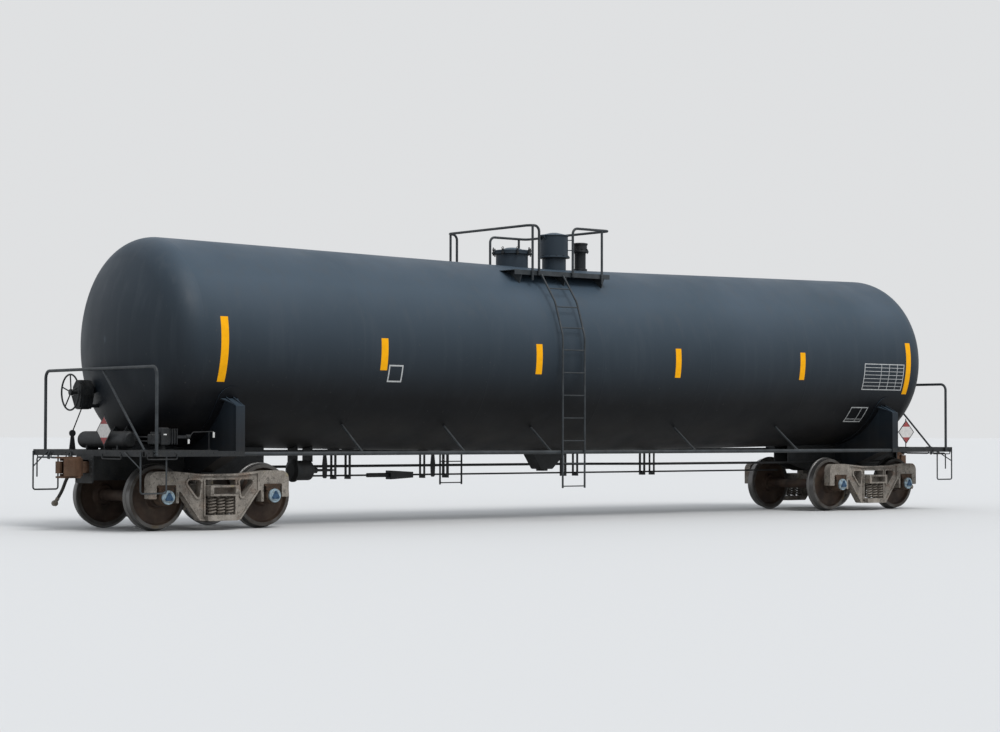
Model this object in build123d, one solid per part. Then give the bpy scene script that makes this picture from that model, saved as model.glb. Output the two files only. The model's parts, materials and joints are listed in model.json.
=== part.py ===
from build123d import *
from math import atan2, cos, hypot, pi, radians, sin, sqrt, tan
import os

os.makedirs("parts", exist_ok=True)

# A general purpose railway tank car. Millimetres, +X along the car towards its A end,
# +Z up, Z = 0 at the lowest point of the wheel flanges. Heights are above the rail top.

# Wheels
flange_height = 25.4
flange_width = 32
tread_radius = 457.2
back_to_back = 1353
rim_width = 145
rim_depth = 60
web_thickness = 26
web_offset = 44
hub_radius = 138
hub_length = 178
hub_inset = 12

# Axles and bearings
axle_radius = 82
wheel_seat_radius = 92
journal_radius = 78.5
journal_centres = 2007
cup_radius = 122
cup_length = 184
cap_radius = 100
cap_length = 42
press_clearance = 0.05
seat = 0.3

# Trucks: side frames
truck_centres = 13920
wheelbase = 1778
frame_thickness = 140
frame_end_reach = 276
frame_top = 322
frame_shoulder_top = 364
frame_bottom = 345
frame_rib = 26
frame_recess = 24
pedestal_half_width = 158
pedestal_roof = 172
outer_leg_bottom = -20
inner_leg_bottom = -85
inner_leg_width = 42
adapter_width = 296
adapter_saddle_width = 236
column_half_gap = 250
centre_opening_top = 240
spring_seat_top = -262
spring_seat_half_length = 262
spring_seat_half_width = 152

# Trucks: bolster, springs and brake beams
bolster_half_width = 214
bolster_end_half_width = 234
bolster_end_bottom = 8
bolster_depth = 263
bolster_half_length = 1190
bolster_window = (200, 70)
bolster_pocket = (360, 96, 150)
spring_radius = 68
spring_coils = 5
spring_spacing = 144
coil_flat_low = 0.3
coil_flat_high = 0.7
wire_radius = 13
bowl_height = 654
bowl_floor = 34
bowl_clearance = 3
bowl_wall = 30
bowl_rim_height = 28
centre_plate_radius = 203
side_bearing_y = 635
side_bearing_height = 72
side_bearing_gap = 6
shoe_clearance = 10
shoe_thickness = 42
shoe_width = 84
shoe_inset = 48

# Tank
tank_radius = 1524
tangent_x = 7498
tank_bottom_height = 1168
tank_drop = 118
crown_radius = 2743
knuckle_radius = 518

# Sills and draft gear
sill_half_width = 180
sill_wall = 20
sill_bottom_height = 690
sill_top_height = 1036
sill_inner_x = 5650
sill_taper_length = 500
sill_taper = 150
sill_brace_x = 8280
sill_head_x = 7900
sill_head_drop = 1132
striker_x = 8540
striker_thickness = 26
striker_half_width = 240
striker_drop = 40
horn_gap = 54
draft_gear_length = 560
carrier_length = 86

# Body bolsters
bolster_web_x = 60
bolster_web = 14
bolster_plate = 16
bolster_plate_half_width = 125
bolster_end_half = 75
bolster_end_inset = 5
bolster_flat_y = 1330
bolster_sill_y = 430
bolster_end_height = 1040
end_plate_drop = 942
cap_run = 300
cap_rise = 110
cap_half_width = 150
pad_thickness = 12
pad_half_width = 190
pad_arch_drop = 852

# Side rails
side_pipe_radius = 30
side_pipe_gap = 24
side_pipe_height = 1070
strut_radius = 18
strut_angle = 38.5
strut_places = (-4799, -2885, -1148, 2008, 4472)

# End platforms, rails and steps
platform_inner_x = 7330
platform_outer_x = 8540
platform_overhang = 47
channel_height = 76
channel_width = 40
channel_wall = 8
deck_thickness = 12
post_x = 8330
post_radius = 19
end_rail_height = 2290
end_rail_bend = 110
brace_radius = 14
brace_foot_y = 1260
brace_top_y = 60
handhold_radius = 9
handhold_drop = 36
grab_places = (("end", -1020, -485), ("side", 7992, 8466))
step_inner_x = 8145
step_inset = 25
step_height = 530
stay_foot_height = 870
stay_run = 435
stay_radius = 9
step_bend = 36
step_radius = 12

# Top fittings, placed from the crown of the shell at mid-length
ladder_x = -730
ladder_half_width = 230
stile_radius = 16
ladder_standoff = 138
ladder_bend_angle = 32.6
ladder_bend = 300
ladder_shoulder_rise = 346
ladder_bottom_height = 500
rung_radius = 9.5
rung_spacing = 360
rung_start = 30
rung_count = 10
top_deck_drop = 123
top_deck_half_width = 1050
top_deck_inner = 640
top_deck_ends = (-1500, 520)
top_deck_thickness = 8
top_channel_height = 75
top_channel_width = 40
top_rail_rise = 602
top_rail_radius = 16
top_rail_bend = 100
top_rail_places = ((-1015, -1210), (-300, 500))
manway_x = -700
manway_radius = 265
manway_bore = 225
manway_rise = 247
manway_flange = 34
cover_radius = 300
cover_thickness = 32
housing_x = 210
housing_radius = 235
housing_wall = 12
housing_rise = 562
lid_dome = 62
housing_flange_rise = 196
housing_flange = 26
housing_neck_radius = 200
hinge_half_width = 40
hinge_pin = 10
pin_lug = 20
safety_x = 790
safety_radius = 88
safety_rise = 512
skid_low = 775
skid_half_length = 350
skid_corner_height = 1020
skid_half_width = 130
outlet_low = 745

# Train line and couplers
cock_y = 330
line_height = 850
cock_height = 800
cock_length = 120
line_level_run = 230
line_slope_end = 480
line_bend = 120
line_radius = 21
coupler_height = 876
pulling_face_x = 9000
coupler_pivot_x = 7900
shank_half_width = 65
shank_half_height = 82
head_half_height = 125
knuckle_half_height = 84
shelf_thickness = 26
knuckle_pin = 21
lever_handle_y = 1400
lever_height = 1010
lever_radius = 11
lever_drop = 290
lever_bracket_run = 325
lever_clearance = 35
lever_bend = 40

# Hoses: each row is the run outwards from the angle cock and the height
hose_x = 8480
hose_radius = 24
hose_bend_share = 0.45
hose_route = ((0, 800), (70, 800), (136, 768), (186, 702), (222, 612), (262, 518), (318, 434))
line_cross_x = (900, 2150)

# Brake gear
cylinder_x = -5190
cylinder_y = -210
cylinder_height = 800
cylinder_rod = 740
rod_height = 710
rod_runs = ((-5560, -3600, 14), (-3620, -3200, 34), (-3210, 5560, 14))
lever_places = (-4420, -2330)
slack_box_x = -2980
hanger_height = 655
hanger_half_width = 60
hanger_wall = 10
hanger_foot = 30
hanger_places = (
    (-4280, 40),
    (-4010, 40),
    (-2560, 36),
    (-2100, 50),
    (390, 50),
    (660, 40),
    (2190, 44),
    (2420, 36),
)
reservoir_x = 8340
reservoir_radius = 122
reservoir_lift = 22
reservoir_y = (-940, 420)
valve_x = 8065
valve_y = 1305
valve_pipe_radius = 11
valve_pipes = ((96, 55, 38), (72, 15, -20))
valve_rib_count = 4
valve_rib_spacing = 40
valve_rib = ((70, 84), (-80, 80), (81, 301))
valve_cap_place = (-135, -5, 226)
valve_knob_place = (415, 0, 186)

# Control valve blocks above the deck: x, y and z limits and the corner radius
valve_blocks = (
    ((-65, 65), (-95, 95), (66, 316), 18),
    ((64, 215), (-60, 60), (101, 276), 0),
    ((-205, -64), (-65, 55), (76, 226), 20),
    ((214, 425), (-25, 25), (166, 206), 0),
    ((-155, 165), (-55, 55), (0, 12), 0),
    ((-15, 25), (-45, 45), (0, 86), 0),
)

# Hand brake
hand_wheel_x = 8475
hand_wheel_radius = 258
hand_brake_y = 590
hand_brake_drop = 338
crank_rise = 236

# Places worked out from the sizes above
rail = flange_height
axle_z = rail + tread_radius
truck_x = truck_centres / 2
half_base = wheelbase / 2
frame_mid = journal_centres / 2
tank_axis_end = rail + tank_bottom_height + tank_radius
tank_axis_middle = tank_axis_end - tank_drop
tank_crown = tank_axis_middle + tank_radius
sill_bottom = rail + sill_bottom_height
sill_top = rail + sill_top_height
side_pipe_y = tank_radius + side_pipe_gap
side_pipe_z = rail + side_pipe_height
platform_half_width = side_pipe_y + platform_overhang
platform_face_y = platform_half_width - bolster_end_inset
deck_low = sill_top + channel_height
deck_top = deck_low + deck_thickness
coupler_z = rail + coupler_height


def outline(corners):
    # A closed flat face. Each corner is (across, up) or (across, up, fillet radius).
    points = [corner[:2] for corner in corners]
    radii = [corner[2] if len(corner) == 3 else 0 for corner in corners]
    return make_face(FilletPolyline(*points, radius=radii, close=True))


def both_sides(half):
    # The right half of an outline with its mirror image, none of its corners on the middle line
    return half + [(-corner[0], *corner[1:]) for corner in reversed(half)]


def block(x, y, z):
    size = [high - low for low, high in (x, y, z)]
    middle = [(high + low) / 2 for low, high in (x, y, z)]
    return Pos(*middle) * Box(*size)


def rod(start, end, radius):
    first = Vector(*start)
    run = Vector(*end) - first
    return Solid.make_cylinder(radius, run.length, Plane(origin=first, z_dir=run))


def pipe(points, bend, radius):
    path = FilletPolyline(*points, radius=bend)
    return sweep(Plane(origin=path @ 0, z_dir=path % 0) * Circle(radius), path)


def plate_xz(face, y):
    plane = Plane(origin=(0, y[1], 0), x_dir=(1, 0, 0), z_dir=(0, -1, 0))
    return extrude(plane * face, y[1] - y[0])


def plate_yz(face, x):
    plane = Plane(origin=(x[0], 0, 0), x_dir=(0, 1, 0), z_dir=(1, 0, 0))
    return extrude(plane * face, x[1] - x[0])


def plate_xy(face, z):
    return extrude(Plane(origin=(0, 0, z[0])) * face, z[1] - z[0])


def turned(corners, plane):
    return revolve(plane * outline(corners), Axis(plane.origin, plane.x_dir))


def upright(x, y, z):
    # Axis of a turned piece that stands on the shell, measured upwards from z
    return Plane(origin=(x, y, z), x_dir=(0, 0, 1), z_dir=(0, 1, 0))


def mirror_y(shape):
    return mirror(shape, about=Plane.XZ)


def mirror_x(shape):
    return mirror(shape, about=Plane.YZ)


def half_turn(shape):
    return Rot(0, 0, 180) * shape


def write(name, *shapes):
    solids = [solid for shape in shapes for solid in shape.solids()]
    export_step(Compound(solids), "parts/" + name + ".step")


# Tank shell. Each half is turned about its own sloped axis and cut at the middle weld.
tank_slope = atan2(tank_drop, tangent_x)


def tank_half(grow):
    radius = tank_radius + grow
    knuckle = knuckle_radius + grow
    crown = crown_radius + grow
    length = hypot(tangent_x, tank_drop)
    depth = crown - sqrt((crown - knuckle) ** 2 - (radius - knuckle) ** 2)
    join = atan2(radius - knuckle, crown - depth)
    knuckle_mid = (join + pi / 2) / 2
    crown_mid = join / 2
    crown_x = length + depth - crown
    start = -tank_radius * sin(tank_slope) * 2
    plane = Plane(
        origin=(0, 0, tank_axis_middle), x_dir=(cos(tank_slope), 0, sin(tank_slope)), z_dir=(0, -1, 0)
    )
    knuckle_arc = ThreePointArc(
        (length, radius),
        (length + knuckle * cos(knuckle_mid), radius - knuckle + knuckle * sin(knuckle_mid)),
        (crown_x + crown * cos(join), crown * sin(join)),
    )
    crown_arc = ThreePointArc(
        knuckle_arc @ 1,
        (crown_x + crown * cos(crown_mid), crown * sin(crown_mid)),
        (crown_x + crown, 0),
    )
    sides = Polyline((crown_x + crown, 0), (start, 0), (start, radius), (length, radius))
    profile = make_face(sides.edges() + knuckle_arc.edges() + crown_arc.edges())
    whole = revolve(plane * profile, Axis(plane.origin, plane.x_dir))
    reach = 2 * tangent_x
    return whole & block((0, reach), (-reach, reach), (-reach, reach))


tank_a = tank_half(0)
tank_space = tank_half(seat)
tank_space_b = mirror_x(tank_space)
pad_space = tank_half(seat + pad_thickness)
write("tank_a", tank_a)
write("tank_b", mirror_x(tank_a))


def clear_of_tank(shape):
    return shape - tank_space - tank_space_b


# Wheelsets. Profiles run along Y and are turned about the axle.
wheel_back = back_to_back / 2
wheel_face = wheel_back + rim_width
rim_inner = tread_radius - rim_depth
hub_start = wheel_back - hub_inset
hub_end = hub_start + hub_length
hub_swell = hub_radius + 22
web_foot = hub_start + 70
web_top_y = wheel_back + web_offset
web_top_r = rim_inner - 18
wheel_profile = [
    (hub_start, wheel_seat_radius + press_clearance),
    (hub_start, hub_radius, 10),
    (web_foot, hub_swell, 30),
    (web_top_y, web_top_r, 24),
    (wheel_back, rim_inner, 10),
    (wheel_back, tread_radius + flange_height, 13),
    (wheel_back + flange_width, tread_radius + flange_height, 12),
    (wheel_back + flange_width + 9, tread_radius + 2, 12),
    (wheel_face, tread_radius - 6, 6),
    (wheel_face, rim_inner, 10),
    (web_top_y + web_thickness, web_top_r, 24),
    (web_foot + web_thickness, hub_swell, 30),
    (hub_end, hub_radius, 10),
    (hub_end, wheel_seat_radius + press_clearance),
]
shoulder_radius = journal_radius + 8
journal_start = journal_centres / 2 - cup_length / 2 - 20
cap_start = journal_centres / 2 + cup_length / 2 + 12
cap_end = cap_start + cap_length
axle_half = [
    (hub_start - 60, axle_radius),
    (hub_start - 20, wheel_seat_radius),
    (hub_end + 6, wheel_seat_radius),
    (hub_end + 24, shoulder_radius),
    (journal_start, shoulder_radius),
    (journal_start, journal_radius),
    (cap_start, journal_radius),
    (cap_start, cap_radius),
    (cap_end - 12, cap_radius, 6),
    (cap_end - 12, cap_radius - 26),
    (cap_end, cap_radius - 34, 4),
    (cap_end, 0),
]
axle_profile = axle_half + [(-corner[0], *corner[1:]) for corner in reversed(axle_half)]
wheel_plane = Plane(origin=(0, 0, axle_z), x_dir=(0, 1, 0), z_dir=(1, 0, 0))
wheel = turned(wheel_profile, wheel_plane)
axle = turned(axle_profile, wheel_plane)
axle_places = [-truck_x - half_base, -truck_x + half_base, truck_x - half_base, truck_x + half_base]
for number, x in enumerate(axle_places, start=1):
    write("wheelset_" + str(number), Pos(x, 0, 0) * (axle + wheel + mirror_y(wheel)))

# Side frames, built about the truck centre with heights above the axle. The casting has ribs
# along its edges and round its windows, with the webs recessed between them.
frame_y = (frame_mid - frame_thickness / 2, frame_mid + frame_thickness / 2)
leg_inner = half_base - pedestal_half_width
leg_outer = half_base + pedestal_half_width
frame_end = half_base + frame_end_reach
column_foot = column_half_gap + 85
frame_half = [
    (300, frame_top, 400),
    (760, frame_shoulder_top, 400),
    (frame_end, frame_shoulder_top, 125),
    (frame_end, outer_leg_bottom, 14),
    (leg_outer, outer_leg_bottom, 14),
    (leg_outer, pedestal_roof, 20),
    (leg_inner, pedestal_roof, 20),
    (leg_inner, inner_leg_bottom, 12),
    (leg_inner - inner_leg_width, inner_leg_bottom, 12),
    (leg_inner - inner_leg_width - 4, pedestal_roof - 60, 16),
    (column_foot, -frame_bottom, 60),
]
window_half = [(318, centre_opening_top, 36), (590, centre_opening_top, 42), (354, -46, 26)]
centre_opening_half = [(column_half_gap, centre_opening_top, 12), (column_half_gap, spring_seat_top)]
frame_face = outline(both_sides(frame_half))
centre_opening = outline(both_sides(centre_opening_half))
window = outline(window_half)
windows = [window, mirror(window, about=Plane.YZ)]
recess = offset(frame_face, -frame_rib) - offset(centre_opening, frame_rib)
for opening in windows:
    recess -= offset(opening, frame_rib)
recess &= Pos(0, 0) * Rectangle(2 * leg_inner - 200, 4 * frame_bottom)
lift = Pos(0, 0, axle_z)
side_frame = plate_xz(frame_face, frame_y)
ledge_half = [(spring_seat_half_length, spring_seat_top, 14), (column_half_gap, -frame_bottom, 30)]
seat_ledge = outline(both_sides(ledge_half))
ledge_y = (frame_mid - spring_seat_half_width, frame_mid + spring_seat_half_width)
side_frame += plate_xz(seat_ledge, ledge_y)
side_frame -= plate_xz(centre_opening, (frame_y[0] - 100, frame_y[1] + 100))
for opening in windows:
    side_frame -= plate_xz(opening, frame_y)
side_frame -= plate_xz(recess, (frame_y[0], frame_y[0] + frame_recess))
side_frame -= plate_xz(recess, (frame_y[1] - frame_recess, frame_y[1]))
side_frame = lift * side_frame
side_frames = [side_frame, mirror_y(side_frame)]

# Bearings: a cup round each journal under its adapter, which seats in the pedestal roof
bearings = []
cup_y = (frame_mid - cup_length / 2, frame_mid + cup_length / 2)
adapter_y = (frame_y[0] - 8, frame_y[1] + 8)
adapter_top = axle_z + pedestal_roof - seat
adapter_face = outline(
    both_sides(
        [
            (adapter_width / 2, adapter_top, 8),
            (adapter_width / 2, adapter_top - 26, 8),
            (adapter_saddle_width / 2, adapter_top - 40, 10),
            (adapter_saddle_width / 2, axle_z + cup_radius - 44, 10),
        ]
    )
)
cup_profile = [
    (cup_y[0], journal_radius + seat),
    (cup_y[0], cup_radius, 8),
    (cup_y[1], cup_radius, 8),
    (cup_y[1], journal_radius + seat),
]
saddle_bore = cup_radius - 1
for end in (-1, 1):
    saddle = plate_xz(adapter_face, adapter_y)
    saddle -= Pos(0, frame_mid, axle_z) * Rot(90, 0, 0) * Cylinder(saddle_bore, 2 * frame_thickness)
    bearing = Pos(end * half_base, 0, 0) * (turned(cup_profile, wheel_plane) + saddle)
    bearings += [bearing, mirror_y(bearing)]

# Truck bolster: a box beam through both side frames with the centre bowl and side bearings
bowl_z = rail + bowl_height
bolster_top = bowl_z - bowl_floor
end_bottom = axle_z + bolster_end_bottom
bolster_face = outline(
    both_sides(
        [
            (bolster_half_length, bolster_top, 12),
            (bolster_half_length, end_bottom, 12),
            (frame_y[0] - 115, end_bottom, 60),
            (frame_y[0] - 380, bolster_top - bolster_depth, 240),
        ]
    )
)
truck_bolster = plate_yz(bolster_face, (-bolster_half_width, bolster_half_width))
pocket_width, pocket_height, pocket_depth = bolster_pocket
end_y = (frame_y[0] - 30, bolster_half_length)
end_z = (end_bottom, bolster_top)
for side in (-1, 1):
    near, far = sorted((side * end_y[0], side * end_y[1]))
    bolster_end = block((-bolster_end_half_width, bolster_end_half_width), (near, far), end_z)
    truck_bolster += fillet(bolster_end.edges().filter_by(Axis.Y), 14)
    pocket = Pos(0, side * bolster_half_length, (end_bottom + bolster_top) / 2)
    truck_bolster -= pocket * Box(pocket_width, 2 * pocket_depth, pocket_height)
    opening = plate_yz(RectangleRounded(*bolster_window, 30), (-bolster_half_width, bolster_half_width))
    truck_bolster -= Pos(0, side * (centre_plate_radius + 150), bolster_top - bolster_depth / 2) * opening
bowl_radius = centre_plate_radius + bowl_clearance
bowl_profile = [
    (-bowl_floor, 0),
    (-bowl_floor, bowl_radius + bowl_wall),
    (bowl_rim_height, bowl_radius + bowl_wall, 6),
    (bowl_rim_height, bowl_radius),
    (0, bowl_radius),
    (0, 0),
]
truck_bolster += turned(bowl_profile, upright(0, 0, bowl_z))
side_bearing_top = bowl_z + side_bearing_height
for side in (-1, 1):
    middle = side * side_bearing_y
    cage = block((-110, 110), (middle - 55, middle + 55), (bolster_top - 10, side_bearing_top - 30))
    pad = block((-80, 80), (middle - 42, middle + 42), (side_bearing_top - 40, side_bearing_top))
    truck_bolster += cage + pad

# Springs: three by two under each bolster end, coils drawn as turned rings
springs = []
spring_low = axle_z + spring_seat_top + seat
spring_high = end_bottom - seat
pitch = (spring_high - spring_low) / spring_coils
coil_inner = spring_radius - wire_radius
spring_profile = [(0, 0)]
for coil in range(spring_coils):
    low = coil * pitch
    spring_profile.append((low, coil_inner))
    spring_profile.append((low + pitch * coil_flat_low, spring_radius))
    spring_profile.append((low + pitch * coil_flat_high, spring_radius))
spring_profile += [(spring_high - spring_low, coil_inner), (spring_high - spring_low, 0)]
for x in (-spring_spacing, 0, spring_spacing):
    for y in (frame_mid - spring_spacing / 2, frame_mid + spring_spacing / 2):
        spring = turned(spring_profile, upright(x, y, spring_low))
        springs += [spring, mirror_y(spring)]

# Brake beams: a bar between the shoe heads, trussed by a bent tie and a strut
brake_beams = []
shoe_inner = tread_radius + shoe_clearance
shoe_outer = shoe_inner + shoe_thickness
shoe_y = (wheel_back + shoe_inset, wheel_back + shoe_inset + shoe_width)
shoe_profile = [
    (shoe_y[0], shoe_inner),
    (shoe_y[0], shoe_outer),
    (shoe_y[1], shoe_outer),
    (shoe_y[1], shoe_inner),
]
shoe_ring = turned(shoe_profile, wheel_plane)
shoe_reach = (-shoe_outer - 10, 0)
shoe = Pos(half_base, 0, 0) * (shoe_ring & block(shoe_reach, shoe_y, (axle_z - 190, axle_z + 110)))
beam_x = half_base - shoe_outer
beam_z = axle_z - 75
head_face = outline(
    [
        (beam_x + 30, axle_z + 40, 12),
        (beam_x - 40, axle_z - 10, 20),
        (beam_x - 50, axle_z - 130, 20),
        (beam_x + 30, axle_z - 150, 12),
    ]
)
tie_points = [
    (beam_x - 40, -shoe_y[0] - 30, beam_z),
    (beam_x - 110, 0, beam_z),
    (beam_x - 40, shoe_y[0] + 30, beam_z),
]
beam = shoe + mirror_y(shoe)
beam += block((beam_x - 50, beam_x + 6), (-shoe_y[1] + 8, shoe_y[1] - 8), (beam_z - 25, beam_z + 25))
beam += pipe(tie_points, 60, 16)
beam += block((beam_x - 112, beam_x), (-22, 22), (beam_z - 40, beam_z + 40))
for side in (-1, 1):
    head = plate_xz(head_face, (shoe_y[0] + 12, shoe_y[1] - 12))
    beam += head if side > 0 else mirror_y(head)
    tip = sorted((side * (shoe_y[1] - 20), side * (frame_y[0] + frame_recess - seat)))
    beam += block((beam_x - 50, beam_x - 14), tip, (beam_z - 50, beam_z - 20))
brake_beams = [beam, half_turn(beam)]

for letter, side in (("b", -1), ("a", 1)):
    place = Pos(side * truck_x, 0, 0)
    write("side_frames_" + letter, *[place * piece for piece in side_frames])
    write("bearings_" + letter, *[place * piece for piece in bearings])
    write("truck_bolster_" + letter, place * truck_bolster)
    write("springs_" + letter, *[place * piece for piece in springs])
    write("brake_beams_" + letter, *[place * piece for piece in brake_beams])

# Body bolsters: two webs on a bottom plate, end plates with flared caps, and a pad on the shell.
# The side channel of the end platform passes under each end plate.
bolster_low = sill_bottom + 12
bolster_flat_z = rail + bolster_end_height
channel_inner_y = platform_face_y - channel_width
end_plate_top = tank_axis_end - end_plate_drop
end_plate_low = deck_low + seat
inside_tank_z = tank_axis_end - tank_radius / 2
web_half = [
    (bolster_sill_y, bolster_low, 120),
    (bolster_flat_y, bolster_flat_z, 60),
    (channel_inner_y - seat, bolster_flat_z),
    (channel_inner_y - seat, end_plate_low),
    (platform_face_y, end_plate_low),
    (platform_face_y, end_plate_top),
    (tank_radius - 324, inside_tank_z),
]
bottom_line = FilletPolyline(
    (0, bolster_low),
    (bolster_sill_y, bolster_low),
    (bolster_flat_y, bolster_flat_z),
    (channel_inner_y - seat, bolster_flat_z),
    radius=60,
)
bottom_face = make_face(trace(bottom_line, line_width=bolster_plate).face().outer_wire())
web_reach = (bolster_web_x - bolster_web / 2, bolster_web_x + bolster_web / 2)
web = plate_yz(outline(both_sides(web_half)), web_reach)
bottom_reach = (-bolster_plate_half_width, bolster_plate_half_width)
bottom_plate = plate_yz(Pos(0, bolster_plate / 2) * bottom_face, bottom_reach)
for side in (-1, 1):
    edge = sorted((side * bolster_end_half, side * (bolster_plate_half_width + 1)))
    bottom_plate -= block(edge, (bolster_flat_y + 110, platform_half_width), (sill_bottom, end_plate_top))
    wedge = outline(
        [
            (side * bolster_end_half, bolster_flat_y + 111),
            (side * (bolster_plate_half_width + 1), bolster_flat_y + 111),
            (side * (bolster_plate_half_width + 1), bolster_flat_y - 60),
        ]
    )
    bottom_plate -= plate_xy(wedge, (sill_bottom, end_plate_top))
end_plate = block(
    (-bolster_end_half, bolster_end_half),
    (platform_face_y - bolster_plate, platform_face_y),
    (end_plate_low, end_plate_top),
)
cap_reach = hypot(cap_run, cap_rise)
cap_plane = Plane(origin=(0, platform_face_y, end_plate_top), x_dir=(1, 0, 0), z_dir=(0, -cap_rise, -cap_run))
flare = ThreePointArc(
    (bolster_end_half, 0), (bolster_end_half + 16, cap_reach * 0.55), (cap_half_width, cap_reach)
)
flare_back = mirror(flare, about=Plane.YZ)
cap_ends = [
    Line((-bolster_end_half, 0), (bolster_end_half, 0)),
    Polyline(
        (cap_half_width, cap_reach),
        (cap_half_width, cap_reach + 130),
        (-cap_half_width, cap_reach + 130),
        (-cap_half_width, cap_reach),
    ),
]
cap_edges = [edge for line in (flare, flare_back, *cap_ends) for edge in line.edges()]
cap = extrude(cap_plane * make_face(cap_edges), bolster_plate)
wear_top = bolster_low + 130
wear_block = block(
    (-bolster_web_x - 40, bolster_web_x + 40),
    (side_bearing_y - 60, side_bearing_y + 60),
    (side_bearing_top + side_bearing_gap, wear_top),
)
half_parts = bottom_plate + end_plate + cap + wear_block
body_bolster = Pos(truck_x, 0, 0) * (web + mirror_x(web) + half_parts + mirror_y(half_parts))
arch_z = tank_axis_end - pad_arch_drop
arch = Pos(truck_x, arch_z / 2) * Rectangle(2 * pad_half_width, arch_z)
arch += Pos(truck_x, arch_z) * Circle(pad_half_width)
shell_pad = pad_space & plate_xz(arch, (-2 * tank_radius, 2 * tank_radius))
body_bolster = body_bolster + shell_pad - tank_space
body_bolster -= block(
    (sill_inner_x - 10, striker_x + 10),
    (-sill_half_width - seat, sill_half_width + seat),
    (sill_bottom - 1, inside_tank_z),
)
line_z = rail + line_height
for side in (-1, 1):
    line_y = side * cock_y
    body_bolster -= rod((truck_x - 200, line_y, line_z), (truck_x + 200, line_y, line_z), line_radius + seat)
write("body_bolster_a", body_bolster)
write("body_bolster_b", half_turn(body_bolster))

# Stub sills: box sections with the centre plate, draft gear, striker and the brace to the head
sill_head_z = tank_axis_end - sill_head_drop
sill_side = outline(
    [
        (sill_inner_x, sill_bottom + sill_taper),
        (sill_inner_x + sill_taper_length, sill_bottom, 2 * sill_taper),
        (striker_x, sill_bottom),
        (striker_x, sill_top),
        (sill_brace_x, sill_top, 60),
        (sill_head_x, sill_head_z),
        (sill_inner_x, sill_head_z),
    ]
)
side_wall = plate_xz(sill_side, (sill_half_width - sill_wall, sill_half_width))
stub_sill = side_wall + mirror_y(side_wall)
sill_across = (-sill_half_width, sill_half_width)
stub_sill += block((sill_inner_x, striker_x), sill_across, (sill_top - sill_wall, sill_top))
sill_floor_x = (truck_x - 300, truck_x + 300)
stub_sill += block(sill_floor_x, (-sill_half_width, sill_half_width), (sill_bottom, sill_bottom + sill_wall))
stub_sill -= tank_space
plate_low = bowl_z + seat
centre_plate = Cylinder(centre_plate_radius, sill_bottom - plate_low)
stub_sill += Pos(truck_x, 0, (plate_low + sill_bottom) / 2) * centre_plate
throat_half_height = shank_half_height + 25
striker_face = Rectangle(2 * striker_half_width, sill_top - sill_bottom + striker_drop)
striker_face = fillet(striker_face.vertices(), 30)
striker_face = Pos(0, (sill_top + sill_bottom - striker_drop) / 2) * striker_face
striker_face -= Pos(0, coupler_z) * RectangleRounded(4 * shank_half_width + 40, 2 * throat_half_height, 40)
stub_sill += plate_yz(striker_face, (striker_x, striker_x + striker_thickness))
carrier_top = coupler_z - shank_half_height - seat
carrier_x = (striker_x + striker_thickness - carrier_length, striker_x + striker_thickness)
stub_sill += block(carrier_x, sill_across, (sill_bottom, carrier_top))
draft_end = coupler_pivot_x - shank_half_width - seat
draft_x = (draft_end - draft_gear_length, draft_end)
stub_sill += block(draft_x, (-sill_half_width, sill_half_width), (sill_bottom + sill_wall, sill_top))
write("stub_sill_a", stub_sill)
write("stub_sill_b", mirror_x(stub_sill))

# End platforms: channels round a deck, with grab irons under the end and side channels
channel_face = Pos(0, (sill_top + deck_low) / 2) * Rectangle(channel_width, channel_height)
channel_hollow = Rectangle(channel_width, channel_height - 2 * channel_wall)
channel_face -= Pos(-channel_wall, (sill_top + deck_low) / 2) * channel_hollow
side_face = Pos(platform_face_y - channel_width / 2) * channel_face
side_channel = plate_yz(side_face, (truck_x - bolster_end_half, platform_outer_x - channel_width))
end_face = Pos(platform_outer_x - channel_width / 2) * channel_face
cross_face = Pos(platform_inner_x + channel_width / 2) * channel_face
cross_y = (-platform_face_y + channel_wall, platform_face_y - channel_wall)
platform = side_channel + mirror_y(side_channel)
platform += plate_xz(end_face, (-platform_face_y, platform_face_y)) + plate_xz(cross_face, cross_y)
deck_across = (-platform_face_y, platform_face_y)
platform += block((platform_inner_x, platform_outer_x), deck_across, (deck_low, deck_top))
platform -= block(
    (platform_inner_x - 1, sill_brace_x + 10),
    (-sill_half_width - seat, sill_half_width + seat),
    (sill_top - 1, deck_top + 1),
)
platform -= block(
    (sill_brace_x, platform_outer_x),
    (-sill_half_width - seat, sill_half_width + seat),
    (sill_top - 1, sill_top + seat),
)
platform -= tank_space
grab_low = sill_top - handhold_drop
grab_top = sill_top + channel_height / 2
for x_or_y, low, high in grab_places:
    if x_or_y == "end":
        grab_x = platform_outer_x + handhold_radius - 2
        corners = [
            (grab_x, low, grab_top),
            (grab_x, low, grab_low),
            (grab_x, high, grab_low),
            (grab_x, high, grab_top),
        ]
    else:
        grab_y = platform_face_y + handhold_radius - 2
        corners = [
            (low, grab_y, grab_top),
            (low, grab_y, grab_low),
            (high, grab_y, grab_low),
            (high, grab_y, grab_top),
        ]
    grab = pipe(corners, 24, handhold_radius)
    platform += grab + mirror_y(grab)
write("end_platform_a", platform)
write("end_platform_b", mirror_x(platform))

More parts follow.
